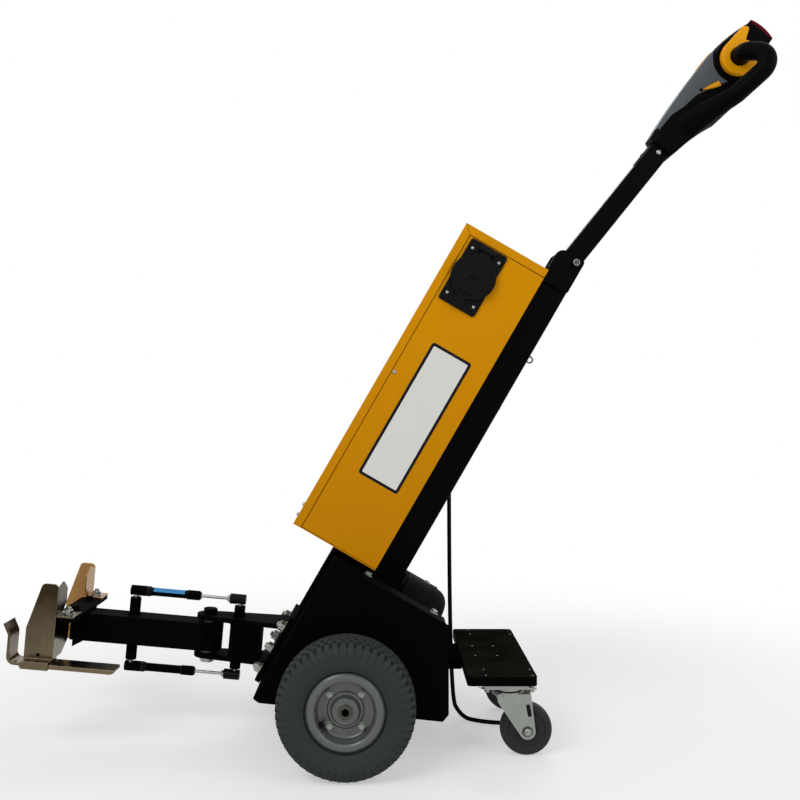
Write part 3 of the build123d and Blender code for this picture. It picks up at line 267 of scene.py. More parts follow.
def rounded_outline(wide, long, corner, steps=6):
    """Closed outline of a rounded rectangle: quarter circles of one radius, each moved to its corner."""
    quarter = np.linspace(0, pi / 2, steps)
    turn = np.concatenate([quarter + k * pi / 2 for k in range(4)])
    shift = np.repeat([(1, 1), (-1, 1), (-1, -1), (1, -1)], steps, axis=0)
    centre = shift * (wide / 2 - corner, long / 2 - corner)
    return centre + corner * np.stack([np.cos(turn), np.sin(turn)], axis=-1)


def plate(place, outline, low, high, ease=0.4):
    """Flat piece of any outline with an eased top edge, as rings of the outline from top to underside.

    place is a Frame; the outline lies across its local x and y, and the piece stands from z low to high.
    A ring's point is the outline's, moved by the ring's inset towards the outline's middle.
    """
    outline = np.asarray(outline, float)
    middle = np.broadcast_to(outline.mean(axis=0), outline.shape)
    inset = outline + directions(middle - outline) * ease
    flat = np.array([middle, inset, outline, outline, middle])
    heights = np.array([high, high, high - ease, low, low])
    z = np.broadcast_to(heights[:, None], flat.shape[:2])
    return surface(place.at(flat[..., 0].T, flat[..., 1].T, z.T))


def side_plate(place, outline, side, low, high, ease=0.2):
    """Plate on a side of a Frame whose z runs to the left: -1 is the left, and 1 the right.

    Its outline isn't mirrored.
    """
    turned = Frame(place.origin, place.axes[0], -side * place.axes[2])
    return plate(turned, np.asarray(outline) * (1, -side), low, high, ease)


def slab(place, middle, wide, long, corner, low, high, ease=0.4):
    """Flat rectangular piece with rounded corners about a middle."""
    return plate(place, rounded_outline(wide, long, corner) + middle, low, high, ease)


def swept(path, profile_x, profile_y, reference, closed=False):
    """Closed profile carried along a path of points, in metres.

    At each station the tangent is the path's central difference; the profile's x runs along
    reference x tangent and its y along tangent x that. An open path's ends are closed to a point.
    """
    step = np.roll(path, -1, axis=0) - np.roll(path, 1, axis=0) if closed else np.gradient(path, axis=0)
    tangent = directions(step)
    side = directions(np.cross(np.broadcast_to(reference, tangent.shape), tangent))
    other = np.cross(tangent, side)
    grid = path[:, None] + profile_x[..., None] * side[:, None] + profile_y[..., None] * other[:, None]
    return surface(grid, wrap_rows=True) if closed else capped(grid)


def run_lengths(points):
    """Distance of each point from the first, along the straight runs between them."""
    return np.concatenate([[0], np.cumsum(np.linalg.norm(np.diff(points, axis=0), axis=1))])


def evenly(points, count):
    """Places at even distances along the straight runs between points, and those distances."""
    far = run_lengths(points)
    stations = np.linspace(0, far[-1], count)
    return np.stack([np.interp(stations, far, column) for column in points.T], axis=-1), stations


WELD_RIPPLE = 2.6
RIPPLE_STEPS = 4
WELD_SWELL = 0.14


def weld(corners, radius, reference, closed=False):
    """Weld bead: a circle carried along a path. Its radius swells by a seventh, once each ripple."""
    corners = np.concatenate([corners, corners[:1]]) if closed else corners
    step = WELD_RIPPLE * MM / RIPPLE_STEPS
    path, _ = evenly(corners, max(int(run_lengths(corners)[-1] / step), RIPPLE_STEPS))
    path = path[:-1] if closed else path
    station = np.arange(len(path))
    swell = 1 + WELD_SWELL * np.cos(station * 2 * pi / RIPPLE_STEPS + 0.4 * np.sin(station * 0.37))
    turn = around(10)
    reach = radius * MM * swell[:, None]
    return swept(path, reach * np.cos(turn), reach * np.sin(turn), reference, closed)


def add_object(name, data):
    """New object in the scene, at the origin."""
    thing = bpy.data.objects.new(name, data)
    bpy.context.scene.collection.objects.link(thing)
    return thing


def piece(name, surfaces, body, finish, sharp=35):
    """One object of several surfaces, closed at its poles and facing outwards, that rides on a body."""
    counts = np.cumsum([0] + [len(points) for points, _ in surfaces])
    points = np.concatenate([points for points, _ in surfaces])
    quads = np.concatenate([quads + start for (_, quads), start in zip(surfaces, counts)])
    mesh = bpy.data.meshes.new(name)
    mesh.from_pydata(points.tolist(), [], quads.tolist())
    shape = bmesh.new()
    shape.from_mesh(mesh)
    bmesh.ops.remove_doubles(shape, verts=shape.verts, dist=2e-6)
    bmesh.ops.dissolve_degenerate(shape, edges=shape.edges, dist=1e-6)
    bmesh.ops.recalc_face_normals(shape, faces=shape.faces)
    shape.to_mesh(mesh)
    shape.free()
    mesh.polygons.foreach_set("use_smooth", np.ones(len(mesh.polygons), bool))
    mesh.set_sharp_from_angle(angle=radians(sharp))
    thing = add_object(name, mesh)
    mesh.materials.append(FINISHES[finish])
    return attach(thing, body)


# Shader groups that several finishes share

def feed(tree, socket, value):
    """Links an output to a socket, or sets the socket to a plain value."""
    if isinstance(value, bpy.types.NodeSocket):
        tree.links.new(value, socket)
    else:
        socket.default_value = value


def node(tree, kind, *values, out=0, **settings):
    """New node, as one of its outputs.

    settings are its properties and its sockets by name. values are its sockets in order, and None leaves one
    as it is.
    """
    made = tree.nodes.new("ShaderNode" + kind)
    for name, value in settings.items():
        if hasattr(made, name):
            setattr(made, name, value)
        else:
            feed(tree, made.inputs[name], value)
    for socket, value in zip(made.inputs, values):
        if value is not None:
            feed(tree, socket, value)
    return made.outputs[out] if made.outputs else None


def ramp(tree, value, low, high, bottom=0.0, top=1.0):
    """Turns low to high into bottom to top, and holds beyond them."""
    return node(tree, "MapRange", value, low, high, bottom, top, clamp=True)


def object_place(tree):
    """Place on the object, in its own coordinates."""
    return node(tree, "TexCoord", out="Object")


def noise(tree, stretch=None, **settings):
    """Soft noise over the object, drawn out where a stretch is given."""
    place = object_place(tree)
    if stretch:
        place = node(tree, "VectorMath", place, stretch, operation="MULTIPLY")
    return node(tree, "TexNoise", Vector=place, **settings)


SOCKET_KINDS = {1: "Float", 3: "Vector", 4: "Color"}


def new_group(name, outputs, inputs):
    """Empty shader group: its tree, what it is given and what it gives. An input's value tells its kind."""
    tree = bpy.data.node_groups.new(name, "ShaderNodeTree")
    for label, value in inputs.items():
        kind = "NodeSocket" + SOCKET_KINDS[np.size(value)]
        tree.interface.new_socket(label, in_out="INPUT", socket_type=kind).default_value = value
    for label in outputs:
        kind = "NodeSocketColor" if label == "Color" else "NodeSocketFloat"
        tree.interface.new_socket(label, in_out="OUTPUT", socket_type=kind)
    given = tree.nodes.new("NodeGroupInput").outputs
    return tree, given, tree.nodes.new("NodeGroupOutput").inputs


def give_mask(tree, given, result, *masks):
    """The group's Mask: its masks and its Amount multiplied, held between 0 and 1."""
    product, *others = masks
    for mask in others:
        product = node(tree, "Math", product, mask, operation="MULTIPLY")
    amount = node(tree, "Math", product, given["Amount"], operation="MULTIPLY", use_clamp=True)
    feed(tree, result["Mask"], amount)
    return tree


def mottle_group():
    """Colour that drifts a little: large soft noise lightens and darkens it by Spread."""
    tree, given, result = new_group("Mottle", ("Color", "Cloud"),
                                    {"Color": (0.5, 0.5, 0.5, 1), "Scale": 8.0, "Spread": 0.1})
    cloud = noise(tree, Scale=given["Scale"], Detail=4.0, Roughness=0.6)
    centred = node(tree, "Math", cloud, 0.5, operation="SUBTRACT")
    lightness = node(tree, "Math", centred, given["Spread"], 1.0, operation="MULTIPLY_ADD")
    feed(tree, result["Color"], node(tree, "HueSaturation", Color=given["Color"], Value=lightness))
    feed(tree, result["Cloud"], cloud)
    return tree


def grain_group():
    """Fine surface height: noise drawn out by Stretch, for powder coat, casting, moulding or brushing."""
    tree, given, result = new_group("Grain", ("Height",),
                                    {"Scale": 900.0, "Stretch": (1, 1, 1), "Detail": 3.0})
    fine = noise(tree, given["Stretch"], Scale=given["Scale"], Detail=given["Detail"], Roughness=0.55)
    feed(tree, result["Height"], fine)
    return tree


def edge_group():
    """Mask that is bright along outer edges: how far a normal averaged over Radius turns from its own."""
    tree, given, result = new_group("Edge rub", ("Mask",),
                                    {"Radius": 0.0015, "Amount": 0.5, "Patch scale": 40.0})
    rounded = node(tree, "Bevel", samples=4, Radius=given["Radius"])
    true = node(tree, "NewGeometry", out="Normal")
    turned = node(tree, "VectorMath", rounded, true, operation="DOT_PRODUCT", out="Value")
    patches = noise(tree, Scale=given["Patch scale"], Detail=5.0)
    return give_mask(tree, given, result, ramp(tree, turned, 0.97, 0.75), patches)


def dust_group():
    """Mask of settled dust: how far a face looks up, times a soft cloud, times Amount."""
    tree, given, result = new_group("Settled dust", ("Mask",), {"Amount": 0.2, "Cloud scale": 14.0})
    upward = node(tree, "SeparateXYZ", node(tree, "NewGeometry", out="Normal"), out="Z")
    cloud = noise(tree, Scale=given["Cloud scale"], Detail=6.0, Roughness=0.7)
    return give_mask(tree, given, result, ramp(tree, upward, 0.35, 1.0), ramp(tree, cloud, 0.4, 0.68))


def scuff_group():
    """Mask of thin scuffs: the crests of noise drawn out by Stretch, kept where a broad cloud is high."""
    tree, given, result = new_group("Scuffs", ("Mask",),
                                    {"Scale": 60.0, "Stretch": (0.06, 1, 1), "Amount": 0.3})
    lines = noise(tree, given["Stretch"], Scale=given["Scale"], Detail=3.0, Roughness=0.7)
    cloud = noise(tree, Scale=9.0, Detail=2.0)
    return give_mask(tree, given, result, ramp(tree, lines, 0.63, 0.72), ramp(tree, cloud, 0.45, 0.65))


def height_shade_group():
    """Painted shade: a mask that rises with height from Low to High, broken by a soft cloud, times Amount."""
    tree, given, result = new_group("Height shade", ("Mask",), {"Low": 0.1, "High": 0.3, "Amount": 0.5})
    height = node(tree, "SeparateXYZ", object_place(tree), out="Z")
    cloud = noise(tree, Scale=11.0, Detail=4.0)
    uneven = node(tree, "Math", cloud, 0.12, height, operation="MULTIPLY_ADD")
    return give_mask(tree, given, result, ramp(tree, uneven, given["Low"], given["High"]))


GROUPS = {"mottle": mottle_group(), "grain": grain_group(), "edge": edge_group(), "dust": dust_group(),
          "scuff": scuff_group(), "height_shade": height_shade_group()}


def place_group(tree, name, **values):
    """A shared group placed in a material with its own values, as its outputs."""
    made = tree.nodes.new("ShaderNodeGroup")
    made.node_tree = GROUPS[name]
    for label, value in values.items():
        made.inputs[label].default_value = value
    return made.outputs


# Finishes

def srgb(red, green, blue):
    """Linear colour of an sRGB colour of 0 to 255: the standard curve, channel by channel."""
    channel = np.array([red, green, blue]) / 255
    linear = np.where(channel <= 0.04045, channel / 12.92, ((channel + 0.055) / 1.055) ** 2.4)
    return (*linear.tolist(), 1.0)


DUST = (112, 106, 96)
WORN_BLACK = (48, 46, 43)


def make_finish(name, color, rough, metallic=0.0, specular=0.5, spread=0.08, cloud=9.0, grain=900.0,
                stretch=(1, 1, 1), bump=0.1, depth=0.0001, rough_spread=0.1, rub=None, dust=0.0, scuff=None,
                brushed=(0.06, 1, 1), height_shade=None):
    """Material: drifting colour, roughness that follows the same cloud, and fine bump. Colours are sRGB.

    rub and scuff, if given, are (amount, colour) of rubbed outer edges and of thin scuffs, which brushed
    draws out. dust is the amount of dust on faces that look up. The last argument is (low, high, amount,
    colour) of painted shade that changes with height.
    """
    material = bpy.data.materials.new(name)
    material.use_nodes = True
    tree = material.node_tree
    shader = tree.nodes["Principled BSDF"].inputs
    shader["Metallic"].default_value = metallic
    shader["Specular IOR Level"].default_value = specular
    drift = place_group(tree, "mottle", Color=srgb(*color), Scale=cloud, Spread=spread)
    layers = []
    # Painted shade: a darker colour that comes in with height
    if height_shade:
        low, high, amount, tint = height_shade
        layers.append((place_group(tree, "height_shade", Low=low, High=high, Amount=amount), tint))
    if scuff:
        layers.append((place_group(tree, "scuff", Amount=scuff[0], Stretch=brushed), scuff[1]))
    if rub:
        layers.append((place_group(tree, "edge", Amount=rub[0]), rub[1]))
    if dust:
        layers.append((place_group(tree, "dust", Amount=dust), DUST))
    base = drift["Color"]
    for layer, tint in layers:
        # A Mix node's colours are its seventh and eighth sockets, and its third output
        base = node(tree, "Mix", layer["Mask"], *[None] * 5, base, srgb(*tint), data_type="RGBA", out=2)
    feed(tree, shader["Base Color"], base)
    half = rough_spread / 2
    feed(tree, shader["Roughness"], ramp(tree, drift["Cloud"], 0.3, 0.7, rough - half, rough + half))
    fine = place_group(tree, "grain", Scale=grain, Stretch=stretch)
    feed(tree, shader["Normal"], node(tree, "Bump", Strength=bump, Distance=depth, Height=fine["Height"]))
    return material


# Colour, roughness, and what differs from make_finish's own values
FINISH_TABLE = {
    # Painted shade: the yellow paint darkens towards the bottom
    "yellow_paint": ((206, 138, 0), 0.44, dict(
        specular=0.06, spread=0.1, cloud=5, grain=1300, bump=0.3, rough_spread=0.08,
        rub=(0.35, (120, 84, 20)), scuff=(0.12, (150, 104, 20)), height_shade=(0.85, 0.35, 0.6, (172, 110, 0)))),
    "seam_shadow": ((84, 46, 4), 0.7, dict(specular=0.03, spread=0.3, cloud=40, bump=0.2)),
    "black_paint": ((6, 6, 6), 0.66, dict(
        specular=0.008, spread=0.4, cloud=12, grain=1500, bump=0.3, rub=(0.14, WORN_BLACK), dust=0.02,
        scuff=(0.12, WORN_BLACK))),
    "matt_black": ((7, 7, 7), 0.8, dict(
        specular=0.0, spread=0.4, cloud=12, grain=1100, bump=0.4, rub=(0.14, WORN_BLACK), dust=0.02,
        scuff=(0.12, (44, 42, 40)))),
    "tube_paint": ((5, 5, 5), 0.42, dict(
        specular=0.03, spread=0.4, cloud=14, grain=1500, bump=0.25, rub=(0.14, WORN_BLACK),
        scuff=(0.14, WORN_BLACK))),
    "grip_rubber": ((5, 5, 6), 0.46, dict(
        specular=0.025, spread=0.3, cloud=20, grain=1600, bump=0.4, rub=(0.1, (34, 34, 34)),
        scuff=(0.15, (30, 30, 30)))),
    "zinc": ((150, 154, 149), 0.32, dict(
        metallic=0.95, spread=0.35, cloud=60, grain=700, bump=0.25, rough_spread=0.2,
        rub=(0.4, (214, 216, 210)), scuff=(0.3, (108, 110, 106)))),
    # Painted shade: the stainless darkens to brown towards the top, under the crosshead
    "stainless": ((112, 100, 80), 0.26, dict(
        metallic=1.0, spread=0.7, cloud=6, grain=420, stretch=(1.0, 1.0, 0.05), bump=0.4, depth=0.00006,
        rough_spread=0.24, rub=(0.8, (214, 196, 164)), scuff=(0.45, (160, 146, 122)), brushed=(1, 1, 0.06),
        height_shade=(0.2, 0.34, 0.95, (46, 36, 22)))),
    "straw_stainless": ((150, 112, 68), 0.28, dict(
        metallic=1.0, spread=0.5, cloud=8, grain=420, stretch=(1.0, 1.0, 0.05), bump=0.4, depth=0.00006,
        rough_spread=0.2, rub=(0.8, (216, 180, 130)), scuff=(0.4, (184, 146, 98)), brushed=(1, 1, 0.06))),
    "grey_tyre": ((44, 50, 49), 0.72, dict(
        specular=0.2, spread=0.22, cloud=18, grain=800, bump=0.4, depth=0.0002, dust=0.08)),
    "rim_paint": ((90, 94, 90), 0.24, dict(
        metallic=0.35, specular=0.5, spread=0.2, cloud=25, bump=0.15, rub=(0.6, (150, 154, 150)),
        scuff=(0.2, (44, 44, 40)))),
    "caster_tread": ((42, 45, 44), 0.62, dict(
        specular=0.15, spread=0.25, cloud=30, grain=900, bump=0.3, dust=0.08, scuff=(0.25, (78, 78, 74)))),
    "black_plastic": ((7, 7, 8), 0.32, dict(
        specular=0.09, spread=0.25, grain=1800, bump=0.35, rub=(0.15, (40, 40, 40)))),
    "face_plastic": ((78, 84, 88), 0.5, dict(specular=0.15, spread=0.1, grain=2200, bump=0.3)),
    "yellow_plastic": ((232, 158, 0), 0.4, dict(
        specular=0.12, spread=0.1, grain=1500, bump=0.15, rub=(0.2, (150, 100, 10)))),
    "red_plastic": ((88, 0, 12), 0.36, dict(specular=0.06, spread=0.15, bump=0.08)),
    "cord_jacket": ((9, 9, 9), 0.62, dict(specular=0.06, spread=0.2, grain=700, bump=0.3, dust=0.06)),
    "bare_steel": ((160, 160, 160), 0.2, dict(
        metallic=1.0, spread=0.15, cloud=40, stretch=(0.1, 1, 1), bump=0.1, depth=0.00003)),
    "cast_housing": ((13, 13, 13), 0.7, dict(
        specular=0.05, spread=0.35, grain=420, bump=0.5, depth=0.0003, dust=0.05)),
    "oiled_steel": ((78, 78, 74), 0.36, dict(
        metallic=0.85, spread=0.3, cloud=50, grain=600, bump=0.2, rub=(0.4, (128, 128, 122)))),
    "grip_top": ((17, 18, 15), 0.9, dict(
        specular=0.0, spread=0.4, cloud=16, grain=320, bump=0.6, depth=0.0003, dust=0.05,
        scuff=(0.2, (44, 44, 40)))),
    "label_field": ((214, 214, 208), 0.4, dict(
        specular=0.3, spread=0.04, bump=0.04, scuff=(0.12, (150, 148, 140)))),
    "label_border": ((14, 16, 24), 0.4, dict(specular=0.1, spread=0.15, bump=0.04)),
    "spring_label": ((56, 136, 194), 0.38, dict(
        specular=0.2, spread=0.08, bump=0.04, scuff=(0.25, (140, 176, 200)))),
    # Painted shade: near-black put in a hole, a slot and on rivets, where shade falls
    "gap_shade": ((4, 4, 4), 0.85, dict(specular=0.02, spread=0.2, bump=0.1)),
}
FINISHES = {name: make_finish(name, color, rough, **more)
            for name, (color, rough, more) in FINISH_TABLE.items()}

NODE_FINISH = {
    "yellow_paint": ("battery_box_body", "battery_box_cover"),
    "black_paint": ("side_panel_left", "side_panel_right", "rear_platform", "clevis_bracket", "hitch_arm",
                    "hitch_crosshead", "spring_cylinder_upper", "spring_cylinder_lower"),
    "matt_black": ("front_plate", "rear_plate", "platform_neck"),
    "tube_paint": ("mast", "mast_bracket", "tiller_tube"),
    "grip_rubber": ("tiller_shell",),
    "zinc": ("tiller_pivot", "hitch_pin", "caster_mount_left", "caster_mount_right", "caster_fork_left",
             "caster_fork_right"),
    "stainless": ("jaw_bracket_left", "jaw_bracket_right", "hook_bar_left", "hook_bar_right"),
    "rim_paint": ("drive_rim_left", "drive_rim_right"),
    "caster_tread": ("caster_wheel_left", "caster_wheel_right"),
    "black_plastic": ("charge_inlet", "inlet_lid", "cord_elbow", "battery"),
    "face_plastic": ("tiller_face",),
    "yellow_plastic": ("throttle_wings",),
    "red_plastic": ("belly_button",),
    "bare_steel": ("spring_rod_upper", "spring_rod_lower"),
    "cast_housing": ("transaxle", "drive_motor"),
    "grey_tyre": ("drive_tyre_left", "drive_tyre_right"),
    "cord_jacket": ("drag_cord",),
}
EASE = 0.5
WIDE_EASE = {"spring_cylinder_upper": 1.6, "spring_cylinder_lower": 1.6, "spring_rod_upper": 1.4,
             "spring_rod_lower": 1.4, "hitch_arm": 2.0, "tiller_shell": 1.2, "tiller_face": 1.0}


def modify(thing, name, kind, **settings):
    """Adds a modifier with its settings."""
    made = thing.modifiers.new(name, kind)
    for setting, value in settings.items():
        setattr(made, setting, value)


def dress(name, finish, ease):
    """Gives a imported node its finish, and eases its hard edges by a small bevel so that they catch light."""
    thing = nodes[name]
    thing.data.materials.clear()
    thing.data.materials.append(FINISHES[finish])
    thing.data.polygons.foreach_set("use_smooth", np.ones(len(thing.data.polygons), bool))
    modify(thing, "weld", "WELD", merge_threshold=2e-6)
    modify(thing, "flat_faces", "DECIMATE", decimate_type="DISSOLVE", angle_limit=radians(0.3),
           delimit={"MATERIAL"})
    modify(thing, "eased_edges", "BEVEL", width=ease * MM, segments=2, limit_method="ANGLE",
           angle_limit=radians(38), use_clamp_overlap=False, harden_normals=False)
    modify(thing, "even_shading", "WEIGHTED_NORMAL", weight=90, keep_sharp=False)


def repaint(name, finish, place, chosen):
    """Second finish on the faces of a node whose middles, in a Frame's millimetres, the test picks."""
    mesh = nodes[name].data
    middles = np.empty(len(mesh.polygons) * 3)
    mesh.polygons.foreach_get("center", middles)
    index = np.empty(len(mesh.polygons), np.int32)
    mesh.polygons.foreach_get("material_index", index)
    picked = chosen(*place.local(middles.reshape(-1, 3)).T)
    mesh.materials.append(FINISHES[finish])
    index = np.where(picked, len(mesh.materials) - 1, index).astype(np.int32)
    mesh.polygons.foreach_set("material_index", index)


# Where the second finishes begin
PIVOT_CHEEK = 31.0
PIN_HEAD_LOW = 39.4
WEB_HIGH = 30.4
WEB_FRONT = 18.0
STUD_LOW = 58.5
ROD_SOCKET_START = 33.5
SHAFT_R = 12.6
SHAFT_START = 20.0
SHAFT_HOLE_R = 6.708
SHAFT_HOLE_END = 28.9
FAR_JAW_INSIDE = 109.0
GRIP_LOW = 146.9

for finish, members in NODE_FINISH.items():
    for member in members:
        dress(member, finish, WIDE_EASE.get(member, EASE))
repaint("tiller_pivot", "black_paint", tiller, lambda x, y, z: np.abs(z) > PIVOT_CHEEK)
repaint("hitch_pin", "black_paint", hitch, lambda x, y, z: z > PIN_HEAD_LOW)
repaint("clevis_bracket", "oiled_steel", hitch, lambda x, y, z: (np.abs(z) < WEB_HIGH) & (x < WEB_FRONT))
for holder in ("clevis_bracket", "hitch_arm"):
    repaint(holder, "zinc", hitch, lambda x, y, z: np.abs(z) > STUD_LOW)
for _, tag in LEVELS:
    repaint(f"spring_rod_{tag}", "black_plastic", hitch, lambda x, y, z: x > ROD_SOCKET_START)
for _, tag in SIDES:
    repaint(f"drive_rim_{tag}", "oiled_steel", wheels[tag],
            lambda x, y, z: (np.hypot(x, y) < SHAFT_R) & (z > SHAFT_START))
    # Painted shade: the faces inside the shaft's hole are made near-black
    repaint(f"drive_rim_{tag}", "gap_shade", wheels[tag],
            lambda x, y, z: (np.hypot(x, y) < SHAFT_HOLE_R) & (z > SHAFT_START) & (z < SHAFT_HOLE_END))
repaint("jaw_bracket_right", "straw_stainless", hitch, lambda x, y, z: y < FAR_JAW_INSIDE)
repaint("rear_platform", "grip_top", floor, lambda x, y, z: z > GRIP_LOW)


# Drag cord behind the mast: the same route as its solid, as one smooth line

CORD_D = 8 * MM
CORD_ROUTE = ((97.72, 64, 491), (97.72, 64, 46), (121.22, 51, 6.2), (151.22, 35, 4.2), (183.22, 25, 4.2),
              (209.22, 22, 4.2))


def drag_cord():
    """Round cord along a NURBS line whose control points are the route."""
    line = bpy.data.curves.new("cord_line", "CURVE")
    line.dimensions = "3D"
    spline = line.splines.new("NURBS")
    spline.points.add(len(CORD_ROUTE) - 1)
    for point, place in zip(spline.points, CORD_ROUTE):
        point.co = (*[value * MM for value in place], 1)
    spline.order_u = 3
    spline.use_endpoint_u = True
    spline.resolution_u = 16
    line.bevel_depth = CORD_D / 2
    line.bevel_resolution = 5
    line.use_fill_caps = True
    line.materials.append(FINISHES["cord_jacket"])
    thing = add_object("trailing_cord", line)
    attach(thing, "chassis")
    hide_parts("drag_cord")


drag_cord()


# Drive wheels: block-tread tyres, rolled lips, nuts and valves

TREAD_PITCHES = 52
STEPS_A_PITCH = 16
TREAD_DEEP = 5.4
BAR_DEEP = 1.1
LEDGE_DEEP = 0.6
WALL_DEEP = 0.8
ZIGZAG = 0.9
# Half section of the tyre from crown to bead: radius, then distance from its middle plane
TYRE_SECTION = ((114.2, 0), (114.2, 19), (113.4, 27), (110.6, 34.5), (106.2, 39.8), (99.5, 43.0),
                (92, 44.3), (87.6, 44.4), (80, 43.2), (72.5, 39.8), (67.0, 36.0))
SECTION_POINTS = 107
TYRE_BEAD_R = TYRE_SECTION[-1][0]
TYRE_BORE_R = 51.4
TYRE_SEAT_HALF = 29.6
# Places along the half section, measured from the crown
RIB_GROOVES = (12.0, 27.0)
SHOULDER_ROW = 28.5
SHOULDER_END = 40.5
LEDGE = 45.0
BARS_END = 58.0
BEAD_RIB = 76.5
BEAD_RIB_HIGH = 0.5
BEAD_RIB_WIDE = 0.9
# Gaps of the three rows of blocks and of the bars, as shares of a pitch
MIDDLE_GAP = 0.3
NEXT_GAP = 0.32
EDGE_GAP = 0.38
BAR_GAP = 0.13


def rise(value, low, high):
    """Smooth step from 0 at low to 1 at high."""
    t = np.clip((value - low) / (high - low), 0, 1)
    return t * t * (3 - 2 * t)


def fall(value, low, high):
    """Smooth step from 1 at low to 0 at high."""
    return 1 - rise(value, low, high)


def cut(phase, wide):
    """1 in the gap at each whole pitch, 0 on the block between gaps; wide is the gap's share of a pitch."""
    return fall(np.abs(np.mod(phase + 0.5, 1) - 0.5), wide / 2 - 0.03, wide / 2 + 0.04)


def tyre_section(count):
    """Even points along the whole section, from bead to bead, with their places from the crown and normals.

    The half section is mirrored, read off its stations by length, and smoothed by a running mean of three.
    """
    half = np.array(TYRE_SECTION, float)
    points, stations = evenly(np.concatenate([half[:0:-1] * (1, -1), half]), count)
    for _ in range(4):
        points[1:-1] = (points[:-2] + 2 * points[1:-1] + points[2:]) / 4
    tangent = directions(np.gradient(points, axis=0))
    return points, stations - stations[-1] / 2, np.stack([tangent[:, 1], -tangent[:, 0]], axis=-1)


def drive_tyre(tag):
    """Tyre with block tread, a grid of section places by turns.

    Each point sinks along the section's normal by the tread depth times a mask of its place and its turn:
    zigzag grooves part three rows of blocks each side, gaps part the blocks of a row, half a pitch off from
    row to row, and thin grooves part the bars on the wall below, which end in a step.
    """
    points, place, normal = tyre_section(SECTION_POINTS)
    turn = around(TREAD_PITCHES * STEPS_A_PITCH)
    far, phase = np.meshgrid(np.abs(place), turn * TREAD_PITCHES / (2 * pi), indexing="ij")
    phase = phase + 0.25 * (place[:, None] > 0)
    zigzag = ZIGZAG * (np.abs(np.mod(phase, 1) - 0.5) * 4 - 1)
    blocks = sum(fall(np.abs(far - rib - zigzag), 1.1, 2.0) for rib in RIB_GROOVES)
    inner, outer = RIB_GROOVES
    past_inner = rise(far, inner - 0.5, inner + 0.5)
    blocks = blocks + cut(phase, MIDDLE_GAP) * (1 - past_inner)
    blocks = blocks + cut(phase + 0.5, NEXT_GAP) * past_inner * fall(far, outer - 0.5, outer + 0.5)
    on_shoulder = rise(far, outer, SHOULDER_ROW) * fall(far, SHOULDER_END - 1.5, SHOULDER_END)
    blocks = blocks + cut(phase, EDGE_GAP) * on_shoulder
    on_wall = rise(far, SHOULDER_END - 2, SHOULDER_END) * fall(far, BARS_END - 0.8, BARS_END)
    sink = TREAD_DEEP * np.clip(blocks, 0, 1) + BAR_DEEP * cut(phase, BAR_GAP) * on_wall
    sink = sink + LEDGE_DEEP * fall(np.abs(far - LEDGE), 0.5, 1.4)
    sink = sink + WALL_DEEP * rise(far, BARS_END, BARS_END + 1.2)
    sink = sink - BEAD_RIB_HIGH * np.exp(-((far - BEAD_RIB) / BEAD_RIB_WIDE) ** 2)
    bore = np.array([(TYRE_BEAD_R, TYRE_SEAT_HALF), (TYRE_BORE_R, TYRE_SEAT_HALF),
                     (TYRE_BORE_R, -TYRE_SEAT_HALF), (TYRE_BEAD_R, -TYRE_SEAT_HALF)])
    radius, width = (np.concatenate([points[:, k:k + 1] - sink * normal[:, k:k + 1],
                                     np.repeat(bore[:, k:k + 1], len(turn), axis=1)]) for k in (0, 1))
    grid = wheels[tag].at((radius * np.cos(turn)).T, (radius * np.sin(turn)).T, width.T)
    thing = piece(f"block_tread_tyre_{tag}", [surface(grid, wrap_rows=True)], f"drive_wheel_{tag}",
                  "grey_tyre", 40)
    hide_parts(f"drive_tyre_{tag}")


QUARTERS = np.radians((45, 135, 225, 315))
LUG_CIRCLE = 36.5
DISC_FACE = 14.0
HUB_FACE = 29.0
LIP_MIDDLE = 56.4
LIP_HALF = 5.9
LIP_FACE = 33.4
LIP_CROWN = 2.6
VALVE_ANGLE = radians(150)
VALVE_CIRCLE = 45.5
VALVE_FOOT = DISC_FACE + 4
# Valve leans inwards: share of its direction along the axle, then towards it
VALVE_LEAN = (0.93, 0.37)
VALVE_STEM = ((0, 15), (2.6, 15), (3.0, 14.4), (3.0, 9.6), (2.6, 9.2), (3.4, 8.6), (4.6, 1.5), (4.9, -1.5),
              (0, -1.5))


def rolled_lip(tag):
    """Rounded crown on the rim's edge: half an ellipse of radii LIP_HALF and LIP_CROWN, round the axle."""
    turn = np.linspace(0, pi, 15)
    section = np.stack([LIP_MIDDLE + LIP_HALF * np.cos(turn), LIP_FACE + LIP_CROWN * np.sin(turn)], axis=-1)
    lip = lathe(section, wheels[tag].origin, wheels[tag].axes[2], 96, wrap_rows=True)
    piece(f"rolled_lip_{tag}", [lip], f"drive_wheel_{tag}", "rim_paint")


def wheel_fasteners(side, tag):
    """Four lug nuts with their bolt ends on the rim's disc, a nut in the hub, a valve in the throat."""
    place = wheels[tag]
    body = f"drive_wheel_{tag}"
    outward = place.axes[2]
    seats = place.at(LUG_CIRCLE * np.cos(QUARTERS), LUG_CIRCLE * np.sin(QUARTERS), DISC_FACE)
    nuts = bolts(seats, outward, 10.4, 6.0, washer_r=6.5, washer_thick=1.0, end_r=3.0, end_high=2.5)
    axle_nut = ring(6.3, 9.6, HUB_FACE - 1, HUB_FACE + 2.4, place.origin, outward, 0.5, 24, SOFT_HEX_RING)
    piece(f"lug_nuts_{tag}", nuts, body, "zinc")
    piece(f"axle_nut_{tag}", [axle_nut], body, "oiled_steel")
    x, y = cos(VALVE_ANGLE * side), sin(VALVE_ANGLE * side)
    along = outward * VALVE_LEAN[0] - VALVE_LEAN[1] * (place.axes[0] * x + place.axes[1] * y)
    foot = place.at(VALVE_CIRCLE * x, VALVE_CIRCLE * y, VALVE_FOOT)
    piece(f"valve_{tag}", [lathe(VALVE_STEM, foot, along, 24)], body, "black_plastic")


for side, tag in SIDES:
    drive_tyre(tag)
    rolled_lip(tag)
    wheel_fasteners(side, tag)
